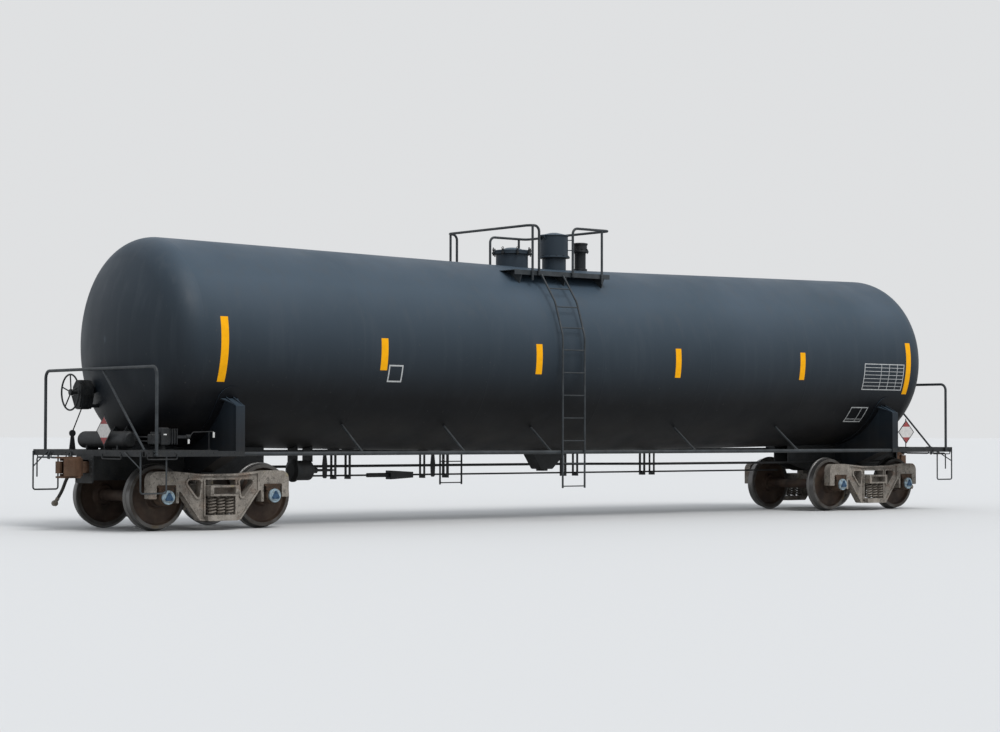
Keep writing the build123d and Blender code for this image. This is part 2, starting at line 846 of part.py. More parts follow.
# End handrails: a hoop across the end and one brace from the hoop's middle to the deck
post_y = platform_face_y - post_radius
end_rail_z = rail + end_rail_height
post_low = deck_top + seat
hoop_points = [(-post_y, post_low), (-post_y, end_rail_z), (post_y, end_rail_z), (post_y, post_low)]
hoop = pipe([(post_x, y, z) for y, z in hoop_points], end_rail_bend, post_radius)
brace_x = post_x - post_radius + 5
brace = rod((brace_x, -brace_foot_y, post_low - 40), (brace_x, -brace_top_y, end_rail_z - 10), brace_radius)
brace -= block((brace_x - 100, brace_x + 100), (-brace_foot_y - 100, 0), (post_low - 100, post_low))
foot = Pos(brace_x, -brace_foot_y + 30, post_low + 4) * Box(70, 90, 8)
write("end_handrail_a", hoop + brace + foot)
write("end_handrail_b", mirror_x(hoop + brace + foot))

# Side rails between the body bolsters, with struts up to the shell
rail_end = truck_x - bolster_end_half - seat
rail_ends = ((-rail_end, -side_pipe_y, side_pipe_z), (rail_end, -side_pipe_y, side_pipe_z))
side_rail = rod(*rail_ends, side_pipe_radius)
strut_reach = tank_radius - 70
strut_y = strut_reach * sin(radians(strut_angle))
strut_z = tank_axis_end - strut_reach * cos(radians(strut_angle))
for x in strut_places:
    side_rail += rod((x, -side_pipe_y, side_pipe_z), (x, -strut_y, strut_z), strut_radius)
side_rail = clear_of_tank(side_rail).solids().sort_by(SortBy.VOLUME)[-1]
write("side_rails", side_rail, mirror_y(side_rail))

# Ladders, bent over the shell, with rungs set along the bend
top_deck_z = tank_crown - top_deck_drop
ladder_y = side_pipe_y + side_pipe_radius + stile_radius + seat
bend_radius = tank_radius + ladder_standoff
bend_angle = radians(ladder_bend_angle)
stile_points = [
    (top_deck_half_width + stile_radius + seat, top_deck_z - 60),
    (bend_radius * cos(bend_angle), tank_axis_middle + bend_radius * sin(bend_angle)),
    (ladder_y, tank_axis_middle + ladder_shoulder_rise),
    (ladder_y, rail + ladder_bottom_height),
]
stile_path = FilletPolyline(*[(ladder_x, -y, z) for y, z in stile_points], radius=ladder_bend)
stile = pipe([(ladder_x - ladder_half_width, -y, z) for y, z in stile_points], ladder_bend, stile_radius)
ladder = stile + Pos(2 * ladder_half_width, 0, 0) * stile
for step in range(rung_count):
    spot = stile_path @ (1 - (rung_start + step * rung_spacing) / stile_path.length)
    ladder += rod(
        (ladder_x - ladder_half_width, spot.Y, spot.Z),
        (ladder_x + ladder_half_width, spot.Y, spot.Z),
        rung_radius,
    )
write("ladders", ladder, mirror_y(ladder))

# Top platform: a deck each side of the fittings on gusset brackets seated on the shell
deck_edge_y = top_deck_half_width - top_channel_width
plate_z = (top_deck_z - top_deck_thickness, top_deck_z)
top_deck = block(top_deck_ends, (-top_deck_half_width, -top_deck_inner), plate_z)
edge_channel = block(
    top_deck_ends, (-top_deck_half_width, -deck_edge_y), (top_deck_z - top_channel_height, top_deck_z)
)
edge_channel -= block(
    top_deck_ends,
    (-top_deck_half_width + channel_wall, -deck_edge_y),
    (top_deck_z - top_channel_height + channel_wall, plate_z[0]),
)
top_deck += edge_channel
gusset = outline(
    [
        (-top_deck_half_width + channel_wall, plate_z[0]),
        (-top_deck_half_width + channel_wall, top_deck_z - top_channel_height),
        (-0.62 * tank_radius, tank_crown - 0.27 * tank_radius),
        (-0.4 * tank_radius, tank_crown - 0.27 * tank_radius),
        (-top_deck_inner, plate_z[0]),
    ]
)
for x in (top_deck_ends[0] + 150, ladder_x + ladder_half_width + 90, top_deck_ends[1] - 120):
    top_deck += plate_yz(gusset, (x - channel_wall, x + channel_wall))
top_deck = clear_of_tank(top_deck)
write("top_platform", top_deck, mirror_y(top_deck))

# Top handrails: one hoop at each end of the platform, clamped outside the deck channels
rail_y = top_deck_half_width + top_rail_radius + seat
top_rail_z = tank_crown + top_rail_rise
rail_low = top_deck_z - top_channel_height
loops = []
for near_x, far_x in top_rail_places:
    half_loop = [(near_x, rail_low), (near_x, top_rail_z), (far_x, top_rail_z)]
    corners = [(x, -rail_y, z) for x, z in half_loop] + [(x, rail_y, z) for x, z in reversed(half_loop)]
    loops.append(pipe(corners, top_rail_bend, top_rail_radius))
write("top_handrails", *loops)

# Manway: a flanged ring on the shell, with a domed cover on a hinge pin
manway_top = tank_crown + manway_rise
nozzle_profile = [
    (-manway_rise - 200, manway_radius),
    (-manway_flange, manway_radius, 8),
    (-manway_flange, cover_radius, 4),
    (0, cover_radius, 4),
    (0, 0),
    (-manway_rise - 200, 0),
]
nozzle = clear_of_tank(turned(nozzle_profile, upright(manway_x, 0, manway_top)))
bore_depth = manway_rise - 12
nozzle -= Pos(manway_x, 0, manway_top - bore_depth / 2) * Cylinder(manway_bore, bore_depth)
hinge_x = manway_x + cover_radius + 25


def hinge_lugs(x, z, back):
    # Two lugs that carry the pin, reaching back from it to the fixed piece
    lug = outline([(0, pin_lug), (back, -30), (back, -80), (0, -pin_lug)])
    lug += Circle(pin_lug)
    pair = plate_xz(lug, (hinge_half_width + 5, hinge_half_width + 19))
    pair = pair + mirror_y(pair) + Rot(90, 0, 0) * Cylinder(hinge_pin, 2 * hinge_half_width + 50)
    return Pos(x, 0, z) * pair


def hinge_knuckle(x, z, back, height):
    # The moving knuckle round the pin, with its strap back to the cover
    strap = block(sorted((0, back)), (-hinge_half_width, hinge_half_width), (seat, height))
    knuckle = strap + Rot(90, 0, 0) * Cylinder(pin_lug, 2 * hinge_half_width)
    return Pos(x, 0, z) * (knuckle - Rot(90, 0, 0) * Cylinder(hinge_pin + 1, 3 * hinge_half_width))


nozzle += hinge_lugs(hinge_x, manway_top, -60)
nozzle -= Pos(hinge_x, 0, manway_top) * Rot(90, 0, 0) * (
    Cylinder(pin_lug + 6, 2 * hinge_half_width + 10) - Cylinder(hinge_pin, 2 * hinge_half_width + 12)
)
write("manway_nozzle", nozzle)
cover_profile = [
    (seat, 0),
    (seat, cover_radius, 5),
    (cover_thickness, cover_radius, 5),
    (cover_thickness, manway_bore, 40),
    (cover_thickness + 46, 90, 200),
    (cover_thickness + 52, 0),
]
cover = turned(cover_profile, upright(manway_x, 0, manway_top))
cover += hinge_knuckle(hinge_x, manway_top, -60, cover_thickness)
write("manway_cover", cover)

# Valve housing: a neck and flange under a thin drum with a hinged domed lid
housing_top = tank_crown + housing_rise
drum_low = housing_flange_rise + housing_flange
drum_inner = housing_radius - housing_wall
housing_profile = [
    (-150, 0),
    (-150, housing_neck_radius),
    (housing_flange_rise, housing_neck_radius, 16),
    (housing_flange_rise, housing_radius + 30, 4),
    (drum_low, housing_radius + 30, 4),
    (drum_low, housing_radius, 6),
    (housing_rise, housing_radius),
    (housing_rise, drum_inner),
    (drum_low, drum_inner),
    (drum_low, 0),
]
housing = clear_of_tank(turned(housing_profile, upright(housing_x, 0, tank_crown)))
lid_hinge_x = housing_x - housing_radius - 37
lugs = hinge_lugs(lid_hinge_x, housing_top, 50)
handle_x = housing_x + 0.8 * housing_radius
handle_y = -0.58 * housing_radius
handle_z = housing_top - 60
handle = pipe(
    [
        (handle_x, handle_y, handle_z - 170),
        (handle_x + 60, handle_y - 60, handle_z - 170),
        (handle_x + 60, handle_y - 60, handle_z),
        (handle_x, handle_y, handle_z),
    ],
    20,
    8,
)
housing += lugs + handle
housing -= Pos(lid_hinge_x, 0, housing_top) * Rot(90, 0, 0) * (
    Cylinder(pin_lug + 6, 2 * hinge_half_width + 10) - Cylinder(hinge_pin, 2 * hinge_half_width + 12)
)
write("valve_housing", housing)
lid_profile = [
    (seat, 0),
    (seat, housing_radius + 12, 4),
    (18, housing_radius + 12, 6),
    (lid_dome, 60, 120),
    (lid_dome, 0),
]
lid = turned(lid_profile, upright(housing_x, 0, housing_top))
lid += hinge_knuckle(lid_hinge_x, housing_top, 40, 16)
write("valve_housing_lid", lid)

# Safety valve
valve_profile = [
    (-150, 0),
    (-150, safety_radius - 8),
    (200, safety_radius - 8, 20),
    (200, safety_radius + 22, 4),
    (236, safety_radius + 22, 4),
    (236, safety_radius - 24, 12),
    (300, safety_radius - 24, 12),
    (320, safety_radius + 6, 8),
    (safety_rise - 70, safety_radius + 6, 8),
    (safety_rise - 40, safety_radius - 20, 16),
    (safety_rise, 46, 8),
    (safety_rise, 0),
]
valve = turned(valve_profile, upright(safety_x, 0, tank_crown))
write("safety_valve", clear_of_tank(valve))

# Bottom outlet at the low point, inside its skid
skid_top = tank_axis_middle - 0.9 * tank_radius
skid = outline(
    [
        (-skid_half_length, skid_top),
        (skid_half_length, skid_top),
        (skid_half_length, rail + skid_corner_height, 30),
        (80, rail + skid_low, 40),
        (-180, rail + skid_low, 40),
        (-skid_half_length, rail + skid_corner_height, 30),
    ]
)
outlet = plate_xz(skid, (-skid_half_width, skid_half_width))
outlet = fillet(outlet.edges().group_by(Axis.Z)[0], 16)
outlet_profile = [(0, 0), (0, 96, 8), (26, 96, 8), (50, 70, 12), (110, 62), (200, 62), (200, 0)]
outlet += turned(outlet_profile, upright(-50, 0, rail + outlet_low))
write("bottom_outlet", clear_of_tank(outlet))

# Couplers: a shank and head with top and bottom shelves, and knuckles on their pins
head_x = striker_x + striker_thickness + horn_gap
coupler = Pos(coupler_pivot_x, 0, coupler_z) * Cylinder(shank_half_width, 2 * shank_half_height)
shank = block(
    (coupler_pivot_x, head_x + 30),
    (-shank_half_width, shank_half_width),
    (coupler_z - shank_half_height, coupler_z + shank_half_height),
)
coupler += fillet(shank.edges().filter_by(Axis.X), 12)
head_corners = [
    (head_x, -70, 20),
    (head_x, 70, 20),
    (head_x + 60, 135, 60),
    (head_x + 200, 205, 80),
    (head_x + 330, 215, 30),
    (head_x + 375, 185, 16),
    (head_x + 290, 120, 60),
    (head_x + 240, 60, 40),
    (head_x + 180, 20, 30),
    (head_x + 120, -60, 30),
    (head_x + 120, -150, 8),
    (head_x + 60, -135, 20),
]
head = plate_xy(outline(head_corners), (coupler_z - head_half_height, coupler_z + head_half_height))
coupler += fillet(head.faces().filter_by(Plane.XY).edges(), 6)
pin_x = head_x + 200
pin_y = -105
lug = outline(
    [
        (head_x + 60, -135),
        (head_x + 150, -175, 30),
        (pin_x + 50, -160, 30),
        (pin_x + 60, -80, 30),
        (pin_x - 20, 10),
        (head_x + 60, 60),
    ]
)
shelf = outline(
    [
        (head_x + 60, -150, 30),
        (head_x + 60, 150, 30),
        (head_x + 240, 160, 60),
        (pulling_face_x - 40, 90, 50),
        (pulling_face_x - 40, -120, 50),
        (head_x + 240, -160, 60),
    ]
)
lug_low = knuckle_half_height + 6
for low, high in ((lug_low, head_half_height), (-head_half_height, -lug_low)):
    coupler += plate_xy(lug, (coupler_z + low, coupler_z + high))
coupler -= Pos(pin_x, pin_y, coupler_z) * Cylinder(knuckle_pin + 1, 2 * head_half_height)
shelf_end = head_half_height + shelf_thickness
for low, high in ((head_half_height, shelf_end), (-shelf_end, -head_half_height)):
    coupler += plate_xy(shelf, (coupler_z + low, coupler_z + high))
knuckle_corners = [
    (pin_x - 46, pin_y + 10, 20),
    (pin_x - 30, pin_y - 46, 24),
    (pin_x + 60, pin_y - 60, 40),
    (pin_x + 130, pin_y - 20, 40),
    (pulling_face_x - 10, -40, 40),
    (pulling_face_x, 20, 24),
    (pulling_face_x - 30, 48, 16),
    (pulling_face_x - 80, 30, 24),
    (pulling_face_x - 84, -20, 30),
    (pin_x + 40, pin_y + 48, 30),
    (pin_x - 20, pin_y + 50, 20),
]
knuckle = plate_xy(
    outline(knuckle_corners), (coupler_z - knuckle_half_height, coupler_z + knuckle_half_height)
)
knuckle += Pos(pin_x, pin_y, coupler_z) * Cylinder(knuckle_pin, 2 * head_half_height - 2)
write("coupler_a", coupler)
write("coupler_b", half_turn(coupler))
write("knuckle_a", knuckle)
write("knuckle_b", half_turn(knuckle))

# Brake gear under the car: the cylinder on its hangers, then levers, rods and the slack adjuster
cylinder_z = rail + cylinder_height
cylinder_profile = [
    (0, 0),
    (0, 110, 30),
    (24, 175),
    (56, 175),
    (56, 150),
    (330, 150, 30),
    (360, 110, 20),
    (366, 45),
    (470, 45),
    (470, 20),
    (cylinder_rod, 20),
    (cylinder_rod, 0),
]
cylinder_plane = Plane(origin=(cylinder_x, cylinder_y, cylinder_z), x_dir=(1, 0, 0), z_dir=(0, 0, 1))
brake_cylinder = turned(cylinder_profile, cylinder_plane)
shell_low = tank_axis_middle - tank_radius
for x in (cylinder_x + 30, cylinder_x + 300):
    bracket_y = (cylinder_y - 130, cylinder_y + 130)
    brake_cylinder += block((x, x + 14), bracket_y, (cylinder_z + 130, shell_low + 160))
write("brake_cylinder", clear_of_tank(brake_cylinder))
rod_z = rail + rod_height
lever_corners = [(-34, -40, 30), (34, -40, 30), (44, 170, 30), (24, 330, 20), (-24, 330, 20), (-44, 170, 30)]
lever_face = outline(lever_corners)
brake_rods = []
for first, last, radius in rod_runs:
    brake_rods.append(rod((first, 0, rod_z), (last, 0, rod_z), radius))
linkage = None
for piece in brake_rods:
    linkage = piece if linkage is None else linkage + piece
for x in lever_places:
    linkage += Pos(x, 0, rod_z) * plate_xz(lever_face, (-10, 10))
linkage += rod((lever_places[0], 0, rod_z + 140), (lever_places[1], 0, rod_z + 140), 13)
linkage += rod((lever_places[0], 0, cylinder_z), (lever_places[0], cylinder_y - 26, cylinder_z), 13)
box_face = outline([(-230, -70, 10), (210, -46, 10), (210, 46, 10), (-230, 70, 10)])
linkage += Pos(slack_box_x, 0, rod_z) * plate_xz(box_face, (-70, 70))
write("brake_rods", clear_of_tank(linkage))

# Hangers that carry the brake rods: a strap loop under the shell at each place
hangers = []
hanger_low = rail + hanger_height
for x, width in hanger_places:
    ring = block((x, x + width), (-hanger_half_width, hanger_half_width), (hanger_low, shell_low + 160))
    ring -= block(
        (x - 1, x + width + 1),
        (-hanger_half_width + hanger_wall, hanger_half_width - hanger_wall),
        (rod_z - rod_runs[0][2] - seat, shell_low + 200),
    )
    foot_x = (x - hanger_foot, x + width + hanger_foot)
    foot_y = (-hanger_half_width - hanger_foot, hanger_half_width + hanger_foot)
    foot = block(foot_x, foot_y, (shell_low - 8, shell_low + 160))
    hangers += clear_of_tank(ring + foot).solids()
write("rod_hangers", *hangers)

# Air reservoir, lying across the deck of the B end on two saddles
reservoir_z = deck_top + seat + reservoir_lift + reservoir_radius
reservoir_length = reservoir_y[1] - reservoir_y[0]
reservoir_profile = [
    (0, 0),
    (0, reservoir_radius - 8, 40),
    (46, reservoir_radius, 40),
    (reservoir_length - 46, reservoir_radius, 40),
    (reservoir_length, reservoir_radius - 8, 40),
    (reservoir_length, 0),
]
reservoir_plane = Plane(origin=(-reservoir_x, reservoir_y[0], reservoir_z), x_dir=(0, 1, 0), z_dir=(1, 0, 0))
reservoir = turned(reservoir_profile, reservoir_plane)
for y in (reservoir_y[0] + 220, reservoir_y[1] - 260):
    reservoir += block(
        (-reservoir_x - 90, -reservoir_x + 90),
        (y, y + 40),
        (deck_top + seat, reservoir_z - reservoir_radius / 2),
    )
write("air_reservoir", reservoir)

# Control valve on the deck at the near corner: a ribbed casting with its pipes to the reservoir
control = None
for x, y, z, corner in valve_blocks:
    piece = block(x, y, z)
    piece = fillet(piece.edges(), corner) if corner else piece
    control = piece if control is None else control + piece
for rib in range(valve_rib_count):
    control += Pos(rib * valve_rib_spacing, 0, 0) * block(*valve_rib)
control += Pos(*valve_cap_place) * Cylinder(44, 60)
control += Pos(*valve_knob_place) * Rot(0, 90, 0) * Cylinder(34, 60)
control = Pos(-valve_x, -valve_y, deck_top + seat) * control
for from_axis, y_shift, rise in valve_pipes:
    pipe_x = -reservoir_x + from_axis
    pipe_y = -valve_y + y_shift
    pipe_z = reservoir_z + rise
    pipe_points = [
        (-valve_x, pipe_y, pipe_z),
        (pipe_x, pipe_y, pipe_z),
        (pipe_x, reservoir_y[0] - seat, pipe_z),
    ]
    control += pipe(pipe_points, 40, valve_pipe_radius)
write("control_valve", control)

# Hand brake on the far side of the B end: wheel, ribbed gear housing on its arm, rod and crank
hand_z = rail + end_rail_height - hand_brake_drop
wheel_x = -hand_wheel_x
gear_face = outline(
    [
        (-90, -240, 40),
        (90, -240, 40),
        (150, -40, 60),
        (150, 90, 70),
        (70, 175, 60),
        (-70, 175, 60),
        (-150, 90, 70),
        (-150, -40, 60),
    ]
)
gear = plate_yz(gear_face, (wheel_x + 130, wheel_x + 300))
gear += plate_yz(offset(gear_face, -24), (wheel_x + 110, wheel_x + 320))
for rib in range(3):
    gear += plate_yz(offset(gear_face, 6), (wheel_x + 150 + 50 * rib, wheel_x + 164 + 50 * rib))
arm = block((wheel_x + 300, wheel_x + 520), (-60, 60), (-10, 90))
arm += block((wheel_x + 300, wheel_x + 520), (-60, 60), (-220, -170))
gear = Pos(0, hand_brake_y, hand_z) * (gear + arm)
gear -= tank_space_b
gear += Pos(wheel_x + 70, hand_brake_y, hand_z) * Rot(0, 90, 0) * Cylinder(24, 140)
hand_wheel = Pos(wheel_x, 0, 0) * Rot(0, 90, 0) * Torus(hand_wheel_radius, 13)
hand_wheel += Pos(wheel_x + 12, 0, 0) * Rot(0, 90, 0) * Cylinder(44, 40)
for spoke in range(5):
    angle = radians(90 + 72 * spoke)
    tip = (wheel_x, hand_wheel_radius * cos(angle), hand_wheel_radius * sin(angle))
    hand_wheel += rod((wheel_x + 14, 0, 0), tip, 10)
gear += Pos(0, hand_brake_y, hand_z) * hand_wheel
crank_z = deck_top + crank_rise
gear += rod(
    (wheel_x + 200, hand_brake_y, hand_z - 200), (wheel_x + 40, hand_brake_y, crank_z + 20), 9
)
gear += Pos(wheel_x + 40, hand_brake_y, crank_z) * Rot(90, 0, 0) * Cylinder(48, 26)
crank_stand = outline(
    [
        (wheel_x - 10, deck_top + seat),
        (wheel_x + 90, deck_top + seat),
        (wheel_x + 60, crank_z, 14),
        (wheel_x + 20, crank_z, 14),
    ]
)
gear += plate_xz(crank_stand, (hand_brake_y - 8, hand_brake_y + 8))
write("hand_brake", gear)

# Sill steps at the corners, each with a diagonal stay to the end channel
step_y = platform_face_y - step_inset
step_outer_x = platform_outer_x + step_radius + seat
step_z = rail + step_height
step_points = [
    (step_inner_x, -step_y, sill_top - seat),
    (step_inner_x, -step_y, step_z),
    (step_outer_x, -step_y, step_z),
    (step_outer_x, -step_y, deck_low - 12),
]
step = pipe(step_points, step_bend, step_radius)
stay_foot = (step_outer_x, -step_y, rail + stay_foot_height)
step += rod(stay_foot, (step_outer_x, -step_y + stay_run, deck_low - 20), stay_radius)
write("sill_steps", step, mirror_y(step), mirror_x(step), mirror_x(mirror_y(step)))

# Uncoupling levers in brackets on the end channels
lever_x = platform_outer_x + lever_clearance
lever_z = rail + lever_height
lever_points = [
    (lever_x, -lever_handle_y, lever_z - lever_drop),
    (lever_x, -lever_handle_y, lever_z),
    (lever_x, -cock_y, lever_z),
    (lever_x + 125, -150, lever_z + 110),
]
lever = pipe(lever_points, lever_bend, lever_radius)
for y in (-lever_handle_y + lever_bracket_run, -cock_y - 70):
    bracket = outline(
        [
            (platform_outer_x + seat, lever_z - 30),
            (lever_x + 4, lever_z - 22, 12),
            (lever_x + 4, lever_z + 22, 12),
            (platform_outer_x + seat, deck_low - 4),
        ]
    )
    lever += plate_xz(bracket, (y - 10, y + 10))
write("uncoupling_levers", lever, half_turn(lever))

# Train line from angle cock to angle cock
cock_z = rail + cock_height
line_points = [
    (-hose_x, cock_y, cock_z),
    (-hose_x + line_level_run, cock_y, cock_z),
    (-hose_x + line_slope_end, cock_y, line_z),
    (line_cross_x[0], cock_y, line_z),
    (line_cross_x[1], -cock_y, line_z),
    (hose_x - line_slope_end, -cock_y, line_z),
    (hose_x - line_level_run, -cock_y, cock_z),
    (hose_x, -cock_y, cock_z),
]
line = pipe(line_points, line_bend, line_radius)
cock_profile = [
    (0, 0),
    (0, 30, 4),
    (24, 30, 4),
    (40, 38, 10),
    (84, 38, 10),
    (100, 30, 4),
    (cock_length, 30, 4),
    (cock_length, 0),
]
cock_plane = Plane(origin=(hose_x - cock_length, -cock_y, cock_z), x_dir=(1, 0, 0), z_dir=(0, 0, 1))
cock = turned(cock_profile, cock_plane)
cock += Pos(hose_x - 58, -cock_y, cock_z + 40) * Cylinder(16, 50)
cock += fillet(Box(120, 18, 12).edges().filter_by(Axis.Z), 8).moved(Pos(hose_x - 100, -cock_y, cock_z + 66))
line += cock + half_turn(cock)
write("train_line", line)

# Air hoses hanging from the angle cocks, each with its gladhand
hose_points = [(hose_x + run, -cock_y, rail + height) for run, height in hose_route]
hose_bends = []
for first, corner, last in zip(hose_points, hose_points[1:], hose_points[2:]):
    run_in = Vector(*corner) - Vector(*first)
    run_out = Vector(*last) - Vector(*corner)
    turn = run_in.get_angle(run_out)
    hose_bends.append(hose_bend_share * min(run_in.length, run_out.length) / tan(radians(turn) / 2))
hose = pipe(hose_points, hose_bends, hose_radius)
end_point = Vector(*hose_points[-1])
end_run = (end_point - Vector(*hose_points[-2])).normalized()
gladhand_profile = [(0, 0), (0, 30, 4), (50, 26, 6), (60, 38, 10), (120, 38, 12), (120, 0)]
gladhand = turned(gladhand_profile, Plane(origin=end_point, x_dir=end_run, z_dir=(0, 1, 0)))
gladhand += Pos(*(end_point + end_run * 88)) * Rot(90, 0, 0) * Cylinder(40, 56)
write("air_hose_a", hose)
write("air_hose_b", half_turn(hose))
write("gladhand_a", gladhand)
write("gladhand_b", half_turn(gladhand))
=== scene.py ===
import json
from math import cos, pi, radians, sin, sqrt, tan

import bmesh
import bpy
from mathutils import Matrix, Vector


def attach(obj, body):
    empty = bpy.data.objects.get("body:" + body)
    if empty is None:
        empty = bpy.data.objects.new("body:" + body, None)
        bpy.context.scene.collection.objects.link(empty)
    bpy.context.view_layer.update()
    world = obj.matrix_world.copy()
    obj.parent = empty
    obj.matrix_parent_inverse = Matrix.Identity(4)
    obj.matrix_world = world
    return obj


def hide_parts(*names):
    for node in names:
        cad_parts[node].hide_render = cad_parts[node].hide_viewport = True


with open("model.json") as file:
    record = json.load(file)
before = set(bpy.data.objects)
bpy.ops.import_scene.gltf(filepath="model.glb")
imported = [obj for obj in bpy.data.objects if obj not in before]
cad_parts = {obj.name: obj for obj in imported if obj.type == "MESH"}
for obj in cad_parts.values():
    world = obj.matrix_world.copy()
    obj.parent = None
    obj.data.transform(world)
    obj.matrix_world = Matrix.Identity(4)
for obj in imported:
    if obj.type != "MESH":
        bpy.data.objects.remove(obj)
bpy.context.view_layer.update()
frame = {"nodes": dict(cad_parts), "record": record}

RAIL = 0.0254

# Camera, at the photograph's place and angle
CAMERA_AT = Vector((-24.175, -28.658, 1.362 + RAIL))
CAMERA_YAW = 0.6889
CAMERA_PITCH = 0.0279
CAMERA_ROLL = 0.0013
CAMERA_LENS = 81.02
CAMERA_SENSOR = 36
CAMERA_SHIFT = (-0.0176, 0.0048)
CAMERA_FAR = 2000


def make_camera():
    forward = Vector((
        sin(CAMERA_YAW) * cos(CAMERA_PITCH),
        cos(CAMERA_YAW) * cos(CAMERA_PITCH),
        sin(CAMERA_PITCH),
    ))
    level = Vector((cos(CAMERA_YAW), -sin(CAMERA_YAW), 0))
    upward = level.cross(forward)
    right = level * cos(CAMERA_ROLL) + upward * sin(CAMERA_ROLL)
    up = upward * cos(CAMERA_ROLL) - level * sin(CAMERA_ROLL)
    camera = bpy.data.objects.new("camera", bpy.data.cameras.new("camera"))
    bpy.context.scene.collection.objects.link(camera)
    camera.matrix_world = Matrix((
        (right.x, up.x, -forward.x, CAMERA_AT.x),
        (right.y, up.y, -forward.y, CAMERA_AT.y),
        (right.z, up.z, -forward.z, CAMERA_AT.z),
        (0, 0, 0, 1),
    ))
    camera.data.lens = CAMERA_LENS
    camera.data.sensor_width = CAMERA_SENSOR
    camera.data.shift_x, camera.data.shift_y = CAMERA_SHIFT
    camera.data.clip_end = CAMERA_FAR
    bpy.context.scene.camera = camera


# Materials. Each is built from noise, height and facing masks over the part's own coordinates.
# Weathered paints: dark, light and dust colour, roughness, share of dust, grain and metallic
WEATHERED = {
    "frame_paint": ((0.010, 0.012, 0.014), (0.022, 0.025, 0.028), (0.070, 0.062, 0.050), 0.5, 0.4, 6, 0),
    "rail_paint": ((0.022, 0.027, 0.031), (0.045, 0.052, 0.058), (0.090, 0.084, 0.074), 0.45, 0.3, 6, 0),
    "brake_black": ((0.006, 0.007, 0.008), (0.016, 0.018, 0.020), (0.055, 0.050, 0.042), 0.5, 0.35, 6, 0),
    "coupler_rust": ((0.060, 0.028, 0.015), (0.120, 0.062, 0.036), (0.150, 0.110, 0.075), 0.75, 0.5, 8, 0),
    "hose_rubber": ((0.014, 0.014, 0.014), (0.028, 0.027, 0.026), (0.090, 0.080, 0.065), 0.65, 0.3, 12, 0),
    "gladhand_metal": ((0.110, 0.100, 0.085), (0.24, 0.22, 0.19), (0.15, 0.11, 0.07), 0.5, 0.4, 20, 0.3),
    "spring_steel": ((0.100, 0.088, 0.075), (0.200, 0.180, 0.150), (0.140, 0.110, 0.080), 0.5, 0.4, 12, 0),
    "adapter_rust": ((0.030, 0.020, 0.014), (0.075, 0.042, 0.026), (0.120, 0.090, 0.065), 0.85, 0.4, 12, 0),
    "spring_wire": ((0.160, 0.140, 0.120), (0.300, 0.270, 0.235), (0.180, 0.145, 0.110), 0.5, 0.4, 12, 0),
}
WEATHERED_SPECULAR = 0.3
WEATHERED_PITTING = 0.0015
DUST_ROUGHNESS = 0.85

# Tank paint: a near-black colour as painted shade on the lower shell and the heads, and a paler blue colour
# as painted sky light where the shell faces up
TANK_PAINTED_SHADE = ((0.0020, 0.0026, 0.0040), (0.0034, 0.0042, 0.0062))
TANK_PAINTED_LIGHT = ((0.040, 0.063, 0.086), (0.052, 0.077, 0.104))
TANK_STREAK = (0.056, 0.068, 0.080)
TANK_SPECK = (0.075, 0.072, 0.066)
TANK_DUST = (0.036, 0.029, 0.021)
TANK_ROUGHNESS = (0.44, 0.58)
TANK_SPECULAR = 0.26
# Where the painted shade of the heads begins and ends, and the heights over which the painted shade of the
# lower shell gives way to painted light
HEAD_SHADE_EDGES = (7.55, 7.85)
PAINTED_SHADE_HEIGHTS = (1.3, 2.3)
DUST_HEIGHTS = (1.15, 1.75)
SEAM_EDGES = (0.006, 0.016)

# Cast side frames
CAST = ((0.140, 0.122, 0.103), (0.330, 0.295, 0.255))
CAST_RUST = (0.160, 0.085, 0.048)
CAST_PIT = (0.045, 0.038, 0.032)
CAST_GRIT = (0.400, 0.370, 0.320)
CAST_DUST = (0.260, 0.240, 0.210)
CAST_GREASE = (0.260, 0.220, 0.120)

# Wheelsets: colours, and the radii and the distance across where one finish ends and the next begins
WEB_BROWN = ((0.024, 0.013, 0.008), (0.058, 0.033, 0.020))
WEB_FILM = (0.085, 0.060, 0.040)
RIM_GREY = ((0.085, 0.080, 0.074), (0.045, 0.036, 0.028))
RIM_YELLOW = (0.150, 0.100, 0.035)
TREAD_STEEL = (0.150, 0.145, 0.140)
CAP_BLUE = ((0.300, 0.410, 0.480), (0.170, 0.175, 0.165))
RIM_EDGES = (0.396, 0.404)
RIM_PAINT_EDGES = (0.36, 0.42)
TREAD_EDGES = (0.449, 0.4515)
CAP_EDGES = (1.104, 1.106)
TREAD_METALLIC = 0.7
WHEEL_ROUGHNESS = (0.72, 0.32)

# Stage and light. Floor and sky have one colour as light and one as the camera sees them.
FLOOR_SIZE = 1200
FLOOR_COLOURS = ((0.50, 0.50, 0.49), (0.68, 0.68, 0.675))
SKY_COLOURS = ((0.70, 0.73, 0.77), (0.74, 0.75, 0.76))
SUN_ENERGY = 1.7
SUN_ANGLE = radians(30)
SUN_TURN = (radians(38), 0, radians(4))


def node(tree, kind, inputs=(), **settings):
    made = tree.nodes.new("ShaderNode" + kind)
    for key, value in settings.items():
        setattr(made, key, value)
    for key, value in dict(inputs).items():
        if isinstance(value, bpy.types.NodeSocket):
            tree.links.new(value, made.inputs[key])
        else:
            made.inputs[key].default_value = value
    return made


